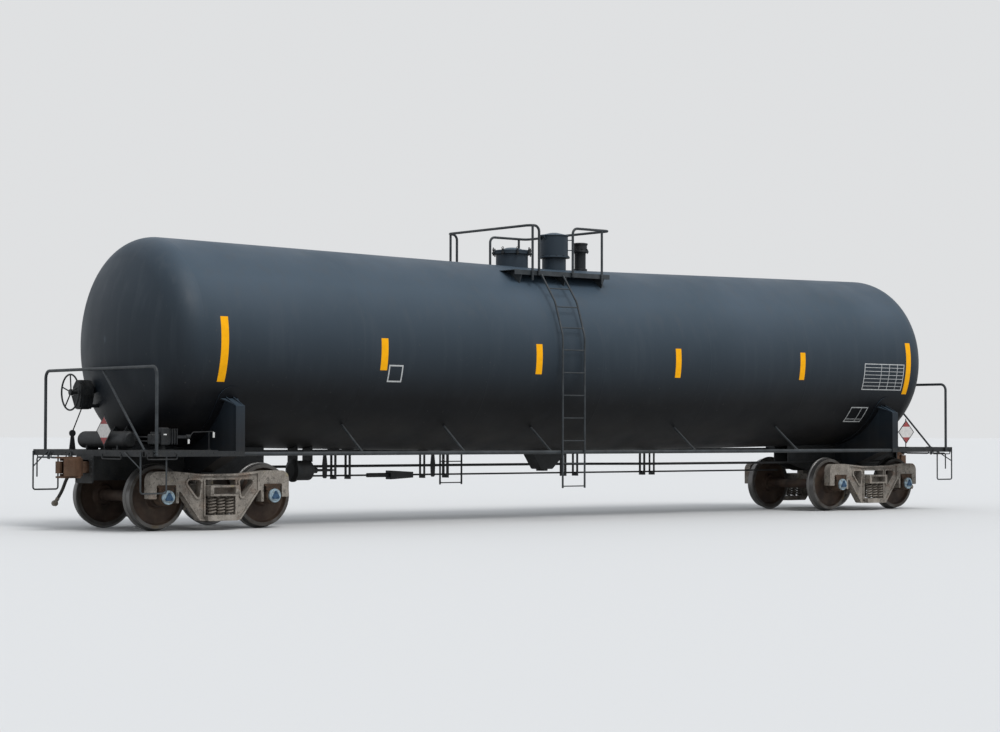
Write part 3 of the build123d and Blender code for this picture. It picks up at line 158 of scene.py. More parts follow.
class Surface:
    def __init__(self, name, roughness, metallic=0.0, specular=0.5):
        self.material = bpy.data.materials.new(name)
        self.material.use_nodes = True
        self.tree = self.material.node_tree
        self.shader = self.tree.nodes["Principled BSDF"]
        self.shader.inputs["Roughness"].default_value = roughness
        self.shader.inputs["Metallic"].default_value = metallic
        self.shader.inputs["Specular IOR Level"].default_value = specular
        self.place = node(self.tree, "TexCoord").outputs["Object"]
        self.split = node(self.tree, "SeparateXYZ", {0: self.place})
        normal = node(self.tree, "NewGeometry").outputs["Normal"]
        self.facing = node(self.tree, "SeparateXYZ", {0: normal}).outputs["Z"]

    def ramp(self, value, low, high, to_low=0.0, to_high=1.0):
        return node(self.tree, "MapRange", {0: value, 1: low, 2: high, 3: to_low, 4: to_high}).outputs[0]

    def noise(self, scale, low, high, stretch=(1, 1, 1), detail=5.0):
        # A mask that is 0 where the noise is under the low value and 1 above the high one
        moved = node(self.tree, "VectorMath", {0: self.place, 1: stretch}, operation="MULTIPLY").outputs[0]
        pattern = node(self.tree, "TexNoise", {"Vector": moved, "Scale": scale, "Detail": detail})
        return self.ramp(pattern.outputs[0], low, high)

    def height(self, low, high):
        return self.ramp(self.split.outputs["Z"], low, high, 1.0, 0.0)

    def height_up(self, low, high, to_low, to_high):
        return self.ramp(self.split.outputs["Z"], low, high, to_low, to_high)

    def math(self, operation, first, second=0.0):
        return node(self.tree, "Math", {0: first, 1: second}, operation=operation).outputs[0]

    def mix(self, factor, first, second):
        first, second = [(*c, 1) if isinstance(c, tuple) else c for c in (first, second)]
        return node(self.tree, "Mix", {0: factor, 6: first, 7: second}, data_type="RGBA").outputs[2]

    def blend(self, factor, first, second):
        return node(self.tree, "Mix", {0: factor, 2: first, 3: second}).outputs[0]

    def over(self, base, colour, mask, strength):
        # The colour laid over the base where the mask is, at a share of its full strength
        return self.mix(self.math("MULTIPLY", mask, strength), base, colour)

    def colour(self, socket):
        self.tree.links.new(socket, self.shader.inputs["Base Color"])

    def roughness(self, socket):
        self.tree.links.new(socket, self.shader.inputs["Roughness"])

    def bump(self, socket, distance, strength=1.0):
        made = node(self.tree, "Bump", {"Strength": strength, "Distance": distance, "Height": socket})
        self.tree.links.new(made.outputs[0], self.shader.inputs["Normal"])


def tank_paint():
    s = Surface("tank_paint", TANK_ROUGHNESS[0], specular=TANK_SPECULAR)
    # The dark colour is painted shade and the pale colour is painted light, each with random variation in
    # tone
    shaded_paint = s.mix(s.noise(0.35, 0.35, 0.65), *TANK_PAINTED_SHADE)
    lit_paint = s.mix(s.noise(0.5, 0.35, 0.65), *TANK_PAINTED_LIGHT)
    # Painted light where the surface faces up, with painted shade lower on the shell and at the heads,
    # which are darker
    heads = s.ramp(s.math("ABSOLUTE", s.split.outputs["X"]), *HEAD_SHADE_EDGES, 1.0, 0.6)
    painted_light_share = s.math("MULTIPLY", heads, s.height_up(*PAINTED_SHADE_HEIGHTS, 0.3, 1.0))
    base = s.mix(s.math("MULTIPLY", s.ramp(s.facing, -0.50, 0.60), painted_light_share), shaded_paint, lit_paint)
    # Streaks run down from the top, with fine specks and a film of dust low down
    upper = s.ramp(s.facing, -0.3, 0.5, 0.04, 0.35)
    streaks = s.math("MULTIPLY", s.noise(1.0, 0.5, 0.72, (7, 7, 0.35)), upper)
    base = s.mix(streaks, base, TANK_STREAK)
    base = s.over(base, TANK_SPECK, s.noise(26, 0.70, 0.76, detail=2.0), 0.3)
    low = s.math("MULTIPLY", s.height(*DUST_HEIGHTS), s.noise(2.2, 0.3, 0.75, (1, 1, 2)))
    base = s.over(base, TANK_DUST, low, 0.45)
    s.colour(base)
    s.roughness(s.blend(s.noise(1.4, 0.3, 0.7), *TANK_ROUGHNESS))
    # Girth welds, and slight waves in the plates
    seams = None
    for x in SHELL_SEAMS:
        away = s.math("ABSOLUTE", s.math("SUBTRACT", s.math("ABSOLUTE", s.split.outputs["X"]), x))
        bead = s.ramp(away, *SEAM_EDGES, 1.0, 0.0)
        seams = bead if seams is None else s.math("ADD", seams, bead)
    waves = s.math("MULTIPLY", s.noise(0.9, 0.0, 1.0, (0.5, 1, 1), 2.0), 1.2)
    s.bump(s.math("ADD", s.math("MULTIPLY", seams, 0.35), waves), 0.004, 0.6)
    return s.material


def weathered(name):
    dark, light, dust, roughness, dust_amount, grain, metallic = WEATHERED[name]
    s = Surface(name, roughness, metallic, WEATHERED_SPECULAR)
    base = s.mix(s.noise(grain, 0.35, 0.68), dark, light)
    base = s.over(base, dust, s.noise(grain * 9, 0.5, 0.72), 0.35)
    # Dust lies on level faces and low on the car
    lying = s.math("MULTIPLY", s.ramp(s.facing, 0.35, 0.95), s.noise(grain * 1.7, 0.2, 0.6))
    low = s.math("MULTIPLY", s.height(0.2, 1.5), s.noise(grain * 0.8, 0.3, 0.7))
    dusty = s.math("MULTIPLY", s.math("MAXIMUM", lying, low), dust_amount)
    s.colour(s.mix(dusty, base, dust))
    s.roughness(s.blend(dusty, roughness, DUST_ROUGHNESS))
    s.bump(s.noise(grain * 14, 0.0, 1.0), WEATHERED_PITTING, 0.7)
    return s.material


def cast_frame():
    s = Surface("cast_dusty", 0.8)
    base = s.mix(s.noise(5, 0.3, 0.7), *CAST)
    base = s.over(base, CAST_RUST, s.noise(2.4, 0.56, 0.72, (1, 1, 2)), 0.6)
    base = s.over(base, CAST_PIT, s.noise(22, 0.55, 0.64, detail=3.0), 0.6)
    base = s.over(base, CAST_GRIT, s.noise(60, 0.56, 0.64, detail=2.0), 0.5)
    base = s.over(base, CAST_DUST, s.ramp(s.facing, 0.2, 0.9), 0.6)
    grease = s.math("MULTIPLY", s.noise(9, 0.60, 0.70), s.noise(1.7, 0.5, 0.6))
    base = s.over(base, CAST_GREASE, grease, 0.8)
    s.colour(base)
    s.bump(s.noise(45, 0.0, 1.0), 0.004, 0.9)
    return s.material


def wheel_steel(number, centre_x):
    s = Surface("wheel_steel_" + str(number), 0.6)
    # Distance from the axle line, and across the car
    across = s.math("SUBTRACT", s.split.outputs["X"], centre_x)
    up = s.math("SUBTRACT", s.split.outputs["Z"], AXLE_Z)
    radius = s.math("SQRT", s.math("ADD", s.math("MULTIPLY", across, across), s.math("MULTIPLY", up, up)))
    beyond = s.math("ABSOLUTE", s.split.outputs["Y"])
    brown = s.mix(s.noise(4, 0.35, 0.65), *WEB_BROWN)
    brown = s.over(brown, WEB_FILM, s.noise(7, 0.5, 0.68), 0.5)
    rim = s.ramp(radius, *RIM_EDGES)
    grey = s.mix(s.noise(6, 0.4, 0.62), *RIM_GREY)
    marked = s.math("MULTIPLY", s.noise(3.2, 0.62, 0.66), s.ramp(radius, *RIM_PAINT_EDGES))
    grey = s.over(grey, RIM_YELLOW, marked, 0.35)
    base = s.mix(rim, brown, grey)
    # The tread is worn bright, and the caps on the axle ends are painted
    tread = s.ramp(radius, *TREAD_EDGES)
    base = s.mix(tread, base, TREAD_STEEL)
    cap = s.ramp(beyond, *CAP_EDGES)
    base = s.mix(cap, base, s.mix(s.noise(20, 0.42, 0.7), *CAP_BLUE))
    s.colour(base)
    s.tree.links.new(s.math("MULTIPLY", tread, TREAD_METALLIC), s.shader.inputs["Metallic"])
    s.roughness(s.blend(tread, *WHEEL_ROUGHNESS))
    s.bump(s.noise(40, 0.0, 1.0), 0.0012, 0.6)
    return s.material


def plain(name, colour, roughness, speck, scale=30.0, specular=0.4):
    s = Surface(name, roughness, specular=specular)
    shade = tuple(c * (1 - speck) for c in colour)
    s.colour(s.mix(s.noise(scale, 0.4, 0.7), colour, shade))
    return s.material


def make_stage():
    bpy.context.scene.view_settings.view_transform = "Standard"
    bpy.ops.mesh.primitive_plane_add(size=FLOOR_SIZE, location=(0, 0, 0))
    floor = bpy.context.object
    floor.name = "floor"
    s = Surface("floor", 0.9, specular=0.1)
    seen = node(s.tree, "LightPath").outputs["Is Camera Ray"]
    s.colour(s.mix(seen, *FLOOR_COLOURS))
    floor.data.materials.append(s.material)
    world = bpy.data.worlds.new("sky")
    bpy.context.scene.world = world
    world.use_nodes = True
    tree = world.node_tree
    seen = node(tree, "LightPath").outputs["Is Camera Ray"]
    light, view = [(*colour, 1) for colour in SKY_COLOURS]
    sky = node(tree, "Mix", {0: seen, 6: light, 7: view}, data_type="RGBA")
    tree.links.new(sky.outputs[2], tree.nodes["Background"].inputs["Color"])
    sun = bpy.data.objects.new("sun", bpy.data.lights.new("sun", "SUN"))
    sun.data.energy = SUN_ENERGY
    sun.data.angle = SUN_ANGLE
    sun.rotation_euler = SUN_TURN
    bpy.context.scene.collection.objects.link(sun)


# Small solids added to the car


class Builder:
    def __init__(self):
        self.mesh = bmesh.new()

    def place(self, made, matrix):
        bmesh.ops.transform(self.mesh, matrix=matrix, verts=made["verts"])

    def cylinder(self, start, end, radius, sides=16, far_radius=None):
        start, end = Vector(start), Vector(end)
        run = end - start
        far = radius if far_radius is None else far_radius
        made = bmesh.ops.create_cone(
            self.mesh, cap_ends=True, segments=sides, radius1=radius, radius2=far, depth=run.length
        )
        turn = run.to_track_quat("Z", "Y").to_matrix().to_4x4()
        self.place(made, Matrix.Translation((start + end) / 2) @ turn)

    def box(self, low, high):
        low, high = Vector(low), Vector(high)
        made = bmesh.ops.create_cube(self.mesh, size=1)
        self.place(made, Matrix.Translation((low + high) / 2) @ Matrix.Diagonal((*(high - low), 1)))

    def join(self, first, second):
        # A band of faces between two loops of as many points
        count = len(first)
        for k in range(count):
            n = (k + 1) % count
            self.mesh.faces.new((first[k], first[n], second[n], second[k]))

    def ring(self, centre, axis, radius, wire, steps, sides):
        turn = Vector(axis).to_track_quat("Z", "Y").to_matrix().to_4x4()
        points = []
        for step in range(steps):
            angle = 2 * pi * step / steps
            points.append(Vector((radius * cos(angle), radius * sin(angle), 0)))
        self.tube([turn @ p + Vector(centre) for p in points], wire, sides, closed=True)

    def tube(self, points, radius, sides=8, closed=False):
        loops = []
        count = len(points)
        turns = [2 * pi * k / sides for k in range(sides)]
        right = None
        for index, point in enumerate(points):
            before = points[(index - 1) % count] if closed or index else point
            after = points[(index + 1) % count] if closed or index < count - 1 else point
            run = (Vector(after) - Vector(before)).normalized()
            if right is None:
                right = run.cross(Vector((0, 0, 1)) if abs(run.z) < 0.9 else Vector((1, 0, 0)))
            right = (right - run * right.dot(run)).normalized()
            up = right.cross(run)
            loops.append([
                self.mesh.verts.new(Vector(point) + right * radius * cos(turn) + up * radius * sin(turn))
                for turn in turns
            ])
        for first, second in zip(loops, loops[1:]):
            self.join(first, second)
        if closed:
            self.join(loops[-1], loops[0])
        else:
            self.mesh.faces.new(list(reversed(loops[0])))
            self.mesh.faces.new(loops[-1])

    def lathe(self, profile, x, base, sides=40):
        # A profile of radius and height turned about an upright axis
        loops = []
        turns = [2 * pi * k / sides for k in range(sides)]
        for radius, rise in profile:
            loops.append([
                self.mesh.verts.new((x + radius * cos(turn), radius * sin(turn), base + rise))
                for turn in turns
            ])
        for first, second in zip(loops, loops[1:]):
            self.join(first, second)
        self.mesh.faces.new(list(reversed(loops[0])))
        self.mesh.faces.new(loops[-1])

    def slab(self, outer, inner):
        # A closed sheet between two matching grids of points
        rows, columns = len(outer), len(outer[0])
        front = [[self.mesh.verts.new(p) for p in row] for row in outer]
        back = [[self.mesh.verts.new(p) for p in row] for row in inner]
        for i in range(rows - 1):
            for j in range(columns - 1):
                self.mesh.faces.new((front[i][j], front[i][j + 1], front[i + 1][j + 1], front[i + 1][j]))
                self.mesh.faces.new((back[i][j], back[i + 1][j], back[i + 1][j + 1], back[i][j + 1]))
        edge = [(0, j) for j in range(columns)]
        edge += [(i, columns - 1) for i in range(1, rows)]
        edge += [(rows - 1, j) for j in range(columns - 2, -1, -1)]
        edge += [(i, 0) for i in range(rows - 2, 0, -1)]
        for (i, j), (k, n) in zip(edge, edge[1:] + edge[:1]):
            self.mesh.faces.new((front[i][j], back[i][j], back[k][n], front[k][n]))

    def finish(self, name, material, body="car", half_turn=False, smooth=30):
        if half_turn:
            copy = self.mesh.copy()
            turn = Matrix.Rotation(pi, 3, "Z")
            bmesh.ops.rotate(copy, cent=(0, 0, 0), matrix=turn, verts=copy.verts)
            other = bpy.data.meshes.new("half")
            copy.to_mesh(other)
            self.mesh.from_mesh(other)
            copy.free()
        bmesh.ops.recalc_face_normals(self.mesh, faces=self.mesh.faces)
        mesh = bpy.data.meshes.new(name)
        self.mesh.to_mesh(mesh)
        self.mesh.free()
        mesh.materials.append(material)
        made = bpy.data.objects.new(name, mesh)
        bpy.context.scene.collection.objects.link(made)
        if smooth:
            mesh.shade_smooth()
            mesh.set_sharp_from_angle(angle=radians(smooth))
        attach(made, body)
        return made


def rounded(corners, bend, steps=6):
    # The line of a bent tube, with an arc at each corner
    corners = [Vector(corner) for corner in corners]
    points = [corners[0]]
    for before, corner, after in zip(corners, corners[1:], corners[2:]):
        back, ahead = (before - corner).normalized(), (after - corner).normalized()
        half = back.angle(ahead) / 2
        reach = bend / tan(half)
        centre = corner + (back + ahead).normalized() * bend / sin(half)
        start = corner + back * reach - centre
        end = corner + ahead * reach - centre
        for step in range(steps + 1):
            points.append(centre + start.slerp(end, step / steps).normalized() * bend)
    return points + [corners[-1]]


# Paint marks and seams on the shell, in metres. Stripes: middle x, low and high z above the rail.
TANK_RADIUS = 1.524
AXIS_MIDDLE = RAIL + 2.574
AXIS_SLOPE = 0.118 / 7.498
SHELL_SEAMS = (0.0, 2.38, 4.76, 7.50)
MARK_LIFT = 0.0016
MARK_SINK = 0.0035
MARK_ROW = 0.03
STRIPE_WIDTH = 0.125
STRIPE_YELLOW = (0.95, 0.43, 0.003)
PANEL_WHITE = (0.52, 0.53, 0.53)
PANEL_GAP = 0.001
STRIPES = (
    (-7.178, 2.090, 3.015),
    (-4.389, 2.304, 2.780),
    (-1.380, 2.298, 2.772),
    (1.638, 2.293, 2.775),
    (4.622, 2.306, 2.780),
    (7.404, 2.090, 3.020),
)
# Blank panels: left, right, low, high, line width, and the shares at which upright and level lines stand
PANELS = (
    (-4.295, -4.030, 2.130, 2.387, 0.022, (), ()),
    (6.225, 7.290, 2.155, 2.626, 0.016, (0.42, 0.62, 0.82), (0.14, 0.28, 0.42, 0.56, 0.70, 0.84)),
    (6.135, 6.585, 1.580, 1.848, 0.018, (0.62,), (0.18,)),
)


def on_shell(x, z, lift):
    # The point of the near side of the shell at this place along it and height above the rail
    radius = TANK_RADIUS + lift
    rise = z + RAIL - (AXIS_MIDDLE + abs(x) * AXIS_SLOPE)
    return Vector((x, -sqrt(radius * radius - rise * rise), z + RAIL))


def shell_mark(builder, left, right, low, high):
    # A thin curved patch that follows the shell
    rows = max(2, int((high - low) / MARK_ROW) + 1)
    heights = [low + (high - low) * i / (rows - 1) for i in range(rows)]
    outer, inner = [
        [[on_shell(left, z, lift), on_shell(right, z, lift)] for z in heights]
        for lift in (MARK_LIFT, -MARK_SINK)
    ]
    builder.slab(outer, inner)


def make_marks():
    stripes = Builder()
    for x, low, high in STRIPES:
        shell_mark(stripes, x - STRIPE_WIDTH / 2, x + STRIPE_WIDTH / 2, low, high)
    yellow = plain("stripe_yellow", STRIPE_YELLOW, 0.6, speck=0.1, scale=14, specular=0.12)
    stripes.finish("stripes", yellow, half_turn=True, smooth=0)
    lines = Builder()
    for left, right, low, high, width, uprights, levels in PANELS:
        for x in (left, right - width):
            shell_mark(lines, x, x + width, low, high)
        for z in (low, high - width):
            shell_mark(lines, left + width, right - width, z, z + width)
        for share in uprights:
            x = left + share * (right - left)
            shell_mark(lines, x, x + width * 0.7, low + width, high - width)
        for share in levels:
            z = low + share * (high - low)
            edges = [left + width] + [left + s * (right - left) for s in uprights] + [right - width]
            for start, end in zip(edges, edges[1:]):
                gap = width * 0.75 if start != edges[0] else PANEL_GAP
                shell_mark(lines, start + gap, end - PANEL_GAP, z, z + width * 0.6)
    white = plain("panel_white", PANEL_WHITE, 0.55, speck=0.3)
    lines.finish("panel_lines", white, half_turn=True, smooth=0)


# Placards, blank, each a diamond on a holder: centre and facing direction
PLACARD_HALF = 0.193
PLACARD_WHITE = (0.62, 0.60, 0.58)
PLACARD_RED = (0.30, 0.05, 0.05)
PLACARDS = (((-8.500, -0.450, 1.395), (-1, 0, 0)), ((7.230, -1.612, 1.400), (0, -1, 0)))
HOLDER_SET_BACK = 0.010
HOLDER_RADIUS = 0.009
DECK_TOP = RAIL + 1.124
# The layers of a placard: corners in halves of the diamond, and the low and high face
PLATE_LAYER = (((0, 1.12), (1.12, 0), (0, -1.12), (-1.12, 0)), -0.004, 0.0)
WHITE_LAYER = (((0, 1), (1, 0), (0, -1), (-1, 0)), 0.0, 0.0016)
RED_LAYERS = (
    (((0, 1), (0.5, 0.5), (0, 0.5), (-0.5, 0.5)), 0.0016, 0.0028),
    (((0, -1), (-0.5, -0.5), (0, -0.5), (0.5, -0.5)), 0.0016, 0.0028),
)


def diamond(builder, centre, out, layer):
    # One layer of a placard, square on its corner
    corners, low, high = layer
    side = Vector((0, 0, 1)).cross(out)
    grids = []
    for lift in (high, low):
        p = []
        for across, up in corners:
            p.append(centre + side * across * PLACARD_HALF + Vector((0, 0, up * PLACARD_HALF)) + out * lift)
        grids.append([[p[0], p[1]], [p[3], p[2]]])
    builder.slab(*grids)


def make_placards():
    plates, whites, reds, holders = Builder(), Builder(), Builder(), Builder()
    for (x, y, z), facing in PLACARDS:
        out = Vector(facing)
        centre = Vector((x, y, z + RAIL))
        diamond(plates, centre, out, PLATE_LAYER)
        diamond(whites, centre, out, WHITE_LAYER)
        for layer in RED_LAYERS:
            diamond(reds, centre, out, layer)
        back = centre - out * HOLDER_SET_BACK
        foot = centre - Vector((0, 0, PLACARD_HALF * 1.05)) - out * HOLDER_SET_BACK
        holders.cylinder((foot.x, foot.y, DECK_TOP), foot + Vector((0, 0, 0.12)), HOLDER_RADIUS, 10)
        holders.cylinder(back - Vector((0, 0, 0.1)), back + Vector((0, 0, 0.24)), HOLDER_RADIUS - 0.001, 10)
    plates.finish("placard_plates", FRAME, half_turn=True, smooth=0)
    white = plain("placard_white", PLACARD_WHITE, 0.5, speck=0.2)
    whites.finish("placards_white", white, half_turn=True, smooth=0)
    red = plain("placard_red", PLACARD_RED, 0.5, speck=0.25)
    reds.finish("placards_red", red, half_turn=True, smooth=0)
    holders.finish("placard_holders", FRAME, half_turn=True)


# Running gear
TRUCK_X = 6.960
HALF_BASE = 0.889
AXLE_Z = RAIL + 0.4572
CAP_END = 1.1495
FRAME_MID = 1.0035
SPRING_LOW = AXLE_Z - 0.2617
SPRING_HIGH = AXLE_Z + 0.0077
SPRING_SPACING = 0.144
COIL_RADIUS = 0.052
WIRE_RADIUS = 0.0125
COIL_TURNS = 5.5
COIL_STEPS = 20
WHEELSETS = (-TRUCK_X - HALF_BASE, -TRUCK_X + HALF_BASE, TRUCK_X - HALF_BASE, TRUCK_X + HALF_BASE)
# The three-cornered plates on the bearings' end caps
PLATE_BLUE = (0.035, 0.090, 0.170)
PLATE_REACH = 0.052
PLATE_CORNER = 0.020
PLATE_THICKNESS = 0.009
PLATE_CORNER_STEP = radians(19)
CAP_BOLT_REACH = 0.050
CAP_BOLT_RADIUS = 0.015
CAP_BOLT_TOP = 0.023


def make_bearing_plates():
    dark_blue = plain("cap_plate_blue", PLATE_BLUE, 0.5, speck=0.4, scale=45)
    middles = [pi / 2 + 2 * pi * corner / 3 for corner in range(3)]
    for number, x in enumerate(WHEELSETS, start=1):
        plates = Builder()
        for side in (-1, 1):
            face = side * CAP_END
            front = face + side * PLATE_THICKNESS
            outline = []
            for middle in middles:
                for step in range(-3, 4):
                    angle = middle + step * PLATE_CORNER_STEP
                    across = x + PLATE_REACH * cos(middle) + PLATE_CORNER * cos(angle)
                    outline.append((across, AXLE_Z + PLATE_REACH * sin(middle) + PLATE_CORNER * sin(angle)))
            loops = []
            for y in (face, front):
                loops.append([plates.mesh.verts.new((px, y, pz)) for px, pz in outline])
            plates.join(*loops)
            plates.mesh.faces.new(loops[0])
            plates.mesh.faces.new(loops[1])
            for middle in middles:
                bolt_x, bolt_z = x + CAP_BOLT_REACH * cos(middle), AXLE_Z + CAP_BOLT_REACH * sin(middle)
                bolt_end = (bolt_x, face + side * CAP_BOLT_TOP, bolt_z)
                plates.cylinder((bolt_x, front, bolt_z), bolt_end, CAP_BOLT_RADIUS, 6)
        plates.finish("cap_plates_" + str(number), dark_blue, body="wheelset_" + str(number))


def coil_line(x, y):
    # The helix of one coil spring about its upright axis
    steps = int(COIL_TURNS * COIL_STEPS)
    points = []
    for step in range(steps + 1):
        share = step / steps
        angle = 2 * pi * COIL_TURNS * share
        rise = SPRING_LOW + WIRE_RADIUS + share * (SPRING_HIGH - SPRING_LOW - 2 * WIRE_RADIUS)
        points.append((x + COIL_RADIUS * cos(angle), y + COIL_RADIUS * sin(angle), rise))
    return points


def make_springs():
    bright = weathered("spring_wire")
    for letter, side in (("b", -1), ("a", 1)):
        coils = Builder()
        for x in (-SPRING_SPACING, 0, SPRING_SPACING):
            for y in (FRAME_MID - SPRING_SPACING / 2, FRAME_MID + SPRING_SPACING / 2):
                for across in (-1, 1):
                    coils.tube(coil_line(side * TRUCK_X + x, across * y), WIRE_RADIUS, 6)
        made = coils.finish("coil_springs_" + letter, bright, body="truck_" + letter)
        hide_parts("springs_" + letter)


# Air hoses, in metres: the run outwards from the angle cock and the height above the rail
COCK_Y = 0.330
HOSE_X = 8.480
HOSE_RUNS = (
    (0.000, 0.800),
    (0.070, 0.800),
    (0.136, 0.768),
    (0.186, 0.702),
    (0.222, 0.612),
    (0.262, 0.518),
    (0.318, 0.434),
)
HOSE_ROUTE = [(HOSE_X + run, -COCK_Y, RAIL + height) for run, height in HOSE_RUNS]
HOSE_RADIUS = 0.024


def make_hose(letter, side, rubber):
    curve = bpy.data.curves.new("air_hose_line_" + letter, "CURVE")
    curve.dimensions = "3D"
    spline = curve.splines.new("NURBS")
    spline.points.add(len(HOSE_ROUTE) - 1)
    for point, (x, y, z) in zip(spline.points, HOSE_ROUTE):
        point.co = (side * x, side * y, z, 1)
    spline.order_u = 3
    spline.use_endpoint_u = True
    curve.bevel_depth = HOSE_RADIUS
    curve.bevel_resolution = 6
    curve.use_fill_caps = True
    hose = bpy.data.objects.new("air_hose_" + letter + "_rubber", curve)
    bpy.context.scene.collection.objects.link(hose)
    curve.materials.append(rubber)
    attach(hose, "car")
    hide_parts("air_hose_" + letter)


# Top fittings
MANWAY_X = -0.700
MANWAY_TOP = RAIL + 4.345
COVER_RADIUS = 0.300
HOUSING_X = 0.210
HOUSING_RADIUS = 0.235
HOUSING_FLANGE_TOP = RAIL + 4.320
SAFETY_X = 0.790
CROWN = RAIL + 4.098
# Bolt circles: middle x, radius, height of the base, bolts, first bolt in steps round the circle,
# and the cylinders of each bolt as low end, high end, radius and sides
BOLT_CIRCLES = (
    (MANWAY_X, COVER_RADIUS + 0.020, MANWAY_TOP, 8, 0.5, (
        (-0.060, 0.046, 0.011, 10),
        (-0.034, -0.004, 0.024, 12),
        (0.026, 0.044, 0.018, 6),
    )),
    (HOUSING_X, HOUSING_RADIUS + 0.015, HOUSING_FLANGE_TOP, 12, 0, ((0.0, 0.014, 0.011, 6),)),
    (SAFETY_X, 0.131, CROWN, 8, 0.5, ((0.306, 0.384, 0.008, 8), (0.352, 0.370, 0.014, 6))),
)
# The eyes on the manway's bolts
EYE_RISE = 0.058
EYE_RADIUS = 0.016
EYE_WIRE = 0.006


def make_top_bolts():
    bolts = Builder()
    for middle, radius, base, count, first, cylinders in BOLT_CIRCLES:
        for step in range(count):
            angle = 2 * pi * (step + first) / count
            x = middle + radius * cos(angle)
            y = radius * sin(angle)
            for low, high, thickness, sides in cylinders:
                bolts.cylinder((x, y, base + low), (x, y, base + high), thickness, sides)
            if middle == MANWAY_X:
                outward = (cos(angle), sin(angle), 0)
                bolts.ring((x, y, base + EYE_RISE), outward, EYE_RADIUS, EYE_WIRE, 14, 6)
    bolts.finish("top_bolts", FRAME)


# Relief valve: radius and height above the crown of the shell
RELIEF_PROFILE = (
    (0.120, -0.004), (0.120, 0.040), (0.117, 0.044), (0.096, 0.046), (0.096, 0.300), (0.104, 0.318),
    (0.143, 0.322), (0.145, 0.326), (0.145, 0.348), (0.143, 0.352), (0.118, 0.354), (0.118, 0.446),
    (0.128, 0.450), (0.130, 0.454), (0.130, 0.474), (0.127, 0.479), (0.085, 0.487), (0.020, 0.490),
)


def make_relief_valve():
    valve = Builder()
    valve.lathe(RELIEF_PROFILE, SAFETY_X, CROWN)
    made = valve.finish("relief_valve", FRAME)
    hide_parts("safety_valve")


# Handrails and their clamps. The end hoops stand outside the side channels of the decks.
# A brace runs from a foot plate on the deck to the middle of each end hoop.
POST_X = 8.330
POST_RADIUS = 0.023
POST_Y = 1.5903 + POST_RADIUS
POST_FOOT = DECK_TOP - 0.078
END_RAIL_Z = RAIL + 2.305 - POST_RADIUS
END_RAIL_BEND = 0.110
BRACE_X = POST_X - 0.014
BRACE_RADIUS = 0.017
BRACE_LOW = (-1.260, DECK_TOP + 0.001)
BRACE_HIGH = (-0.060, END_RAIL_Z)
# The brace's foot plate: half its width, its reach behind and ahead of the brace, its thickness
BRACE_FOOT = (0.035, -0.015, 0.075, 0.008)
TOP_RAIL_RADIUS = 0.021
TOP_RAIL_Y = 1.0503 + TOP_RAIL_RADIUS
TOP_RAIL_Z = CROWN + 0.618 - TOP_RAIL_RADIUS
TOP_RAIL_BEND = 0.095
TOP_POST_RADIUS = TOP_RAIL_RADIUS * 0.95
TOP_DECK_Z = RAIL + 3.975
TOP_DECK_DEPTH = 0.075
POST_LOW = RAIL + 3.815
# Each loop of the top handrail: x of its legs, of its far end and of its straight posts
TOP_LOOPS = ((-1.015, -1.210, -1.150), (-0.300, 0.500, 0.330))


def make_end_rails():
    for letter, side in (("a", 1), ("b", -1)):
        x = side * POST_X
        half = [(-POST_Y, POST_FOOT), (-POST_Y, END_RAIL_Z)]
        route = [(x, y, z) for y, z in half] + [(x, -y, z) for y, z in reversed(half)]
        rails = Builder()
        rails.tube(rounded(route, END_RAIL_BEND), POST_RADIUS, 20)
        brace_x = side * BRACE_X
        rails.cylinder((brace_x, *BRACE_LOW), (brace_x, *BRACE_HIGH), BRACE_RADIUS, 16)
        half_width, behind, ahead, thickness = BRACE_FOOT
        foot_low = (brace_x - half_width, BRACE_LOW[0] + behind, DECK_TOP)
        rails.box(foot_low, (brace_x + half_width, BRACE_LOW[0] + ahead, DECK_TOP + thickness))
        made = rails.finish("end_rail_tubes_" + letter, RAILS)
        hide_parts("end_handrail_" + letter)


def make_top_rails():
    rails = Builder()
    for legs, far, posts in TOP_LOOPS:
        half = [(legs, TOP_DECK_Z - TOP_DECK_DEPTH), (legs, TOP_RAIL_Z), (far, TOP_RAIL_Z)]
        corners = [(x, -TOP_RAIL_Y, z) for x, z in half] + [(x, TOP_RAIL_Y, z) for x, z in reversed(half)]
        rails.tube(rounded(corners, TOP_RAIL_BEND), TOP_RAIL_RADIUS, 16)
        for side in (-1, 1):
            y = side * TOP_RAIL_Y
            rails.cylinder((posts, y, POST_LOW), (posts, y, TOP_RAIL_Z), TOP_POST_RADIUS, 16)
    made = rails.finish("top_rail_tubes", RAILS)
    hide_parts("top_handrails")


# Clamps: wire radius, steps round, distance of the bolt, its reach inwards and outwards, and its radius
END_CLAMP = (0.006, 20, 0.012, 0.020, 0.010, 0.008)
END_CLAMP_DROPS = (0.062, 0.020)
TOP_CLAMP = (0.005, 16, 0.010, 0.018, 0.010, 0.007)
TOP_CLAMP_DROPS = (0.060, 0.022)


def clamp(builder, x, y, z, radius, sizes):
    # A wire ring round an upright tube, with its bolt
    wire, steps, bolt_distance, inward, outward, bolt_radius = sizes
    builder.ring((x, y, z), (0, 0, 1), radius, wire, steps, 6)
    side = 1 if y > 0 else -1
    bolt_x = x + radius + bolt_distance
    builder.cylinder((bolt_x, y - side * inward, z), (bolt_x, y + side * outward, z), bolt_radius, 6)


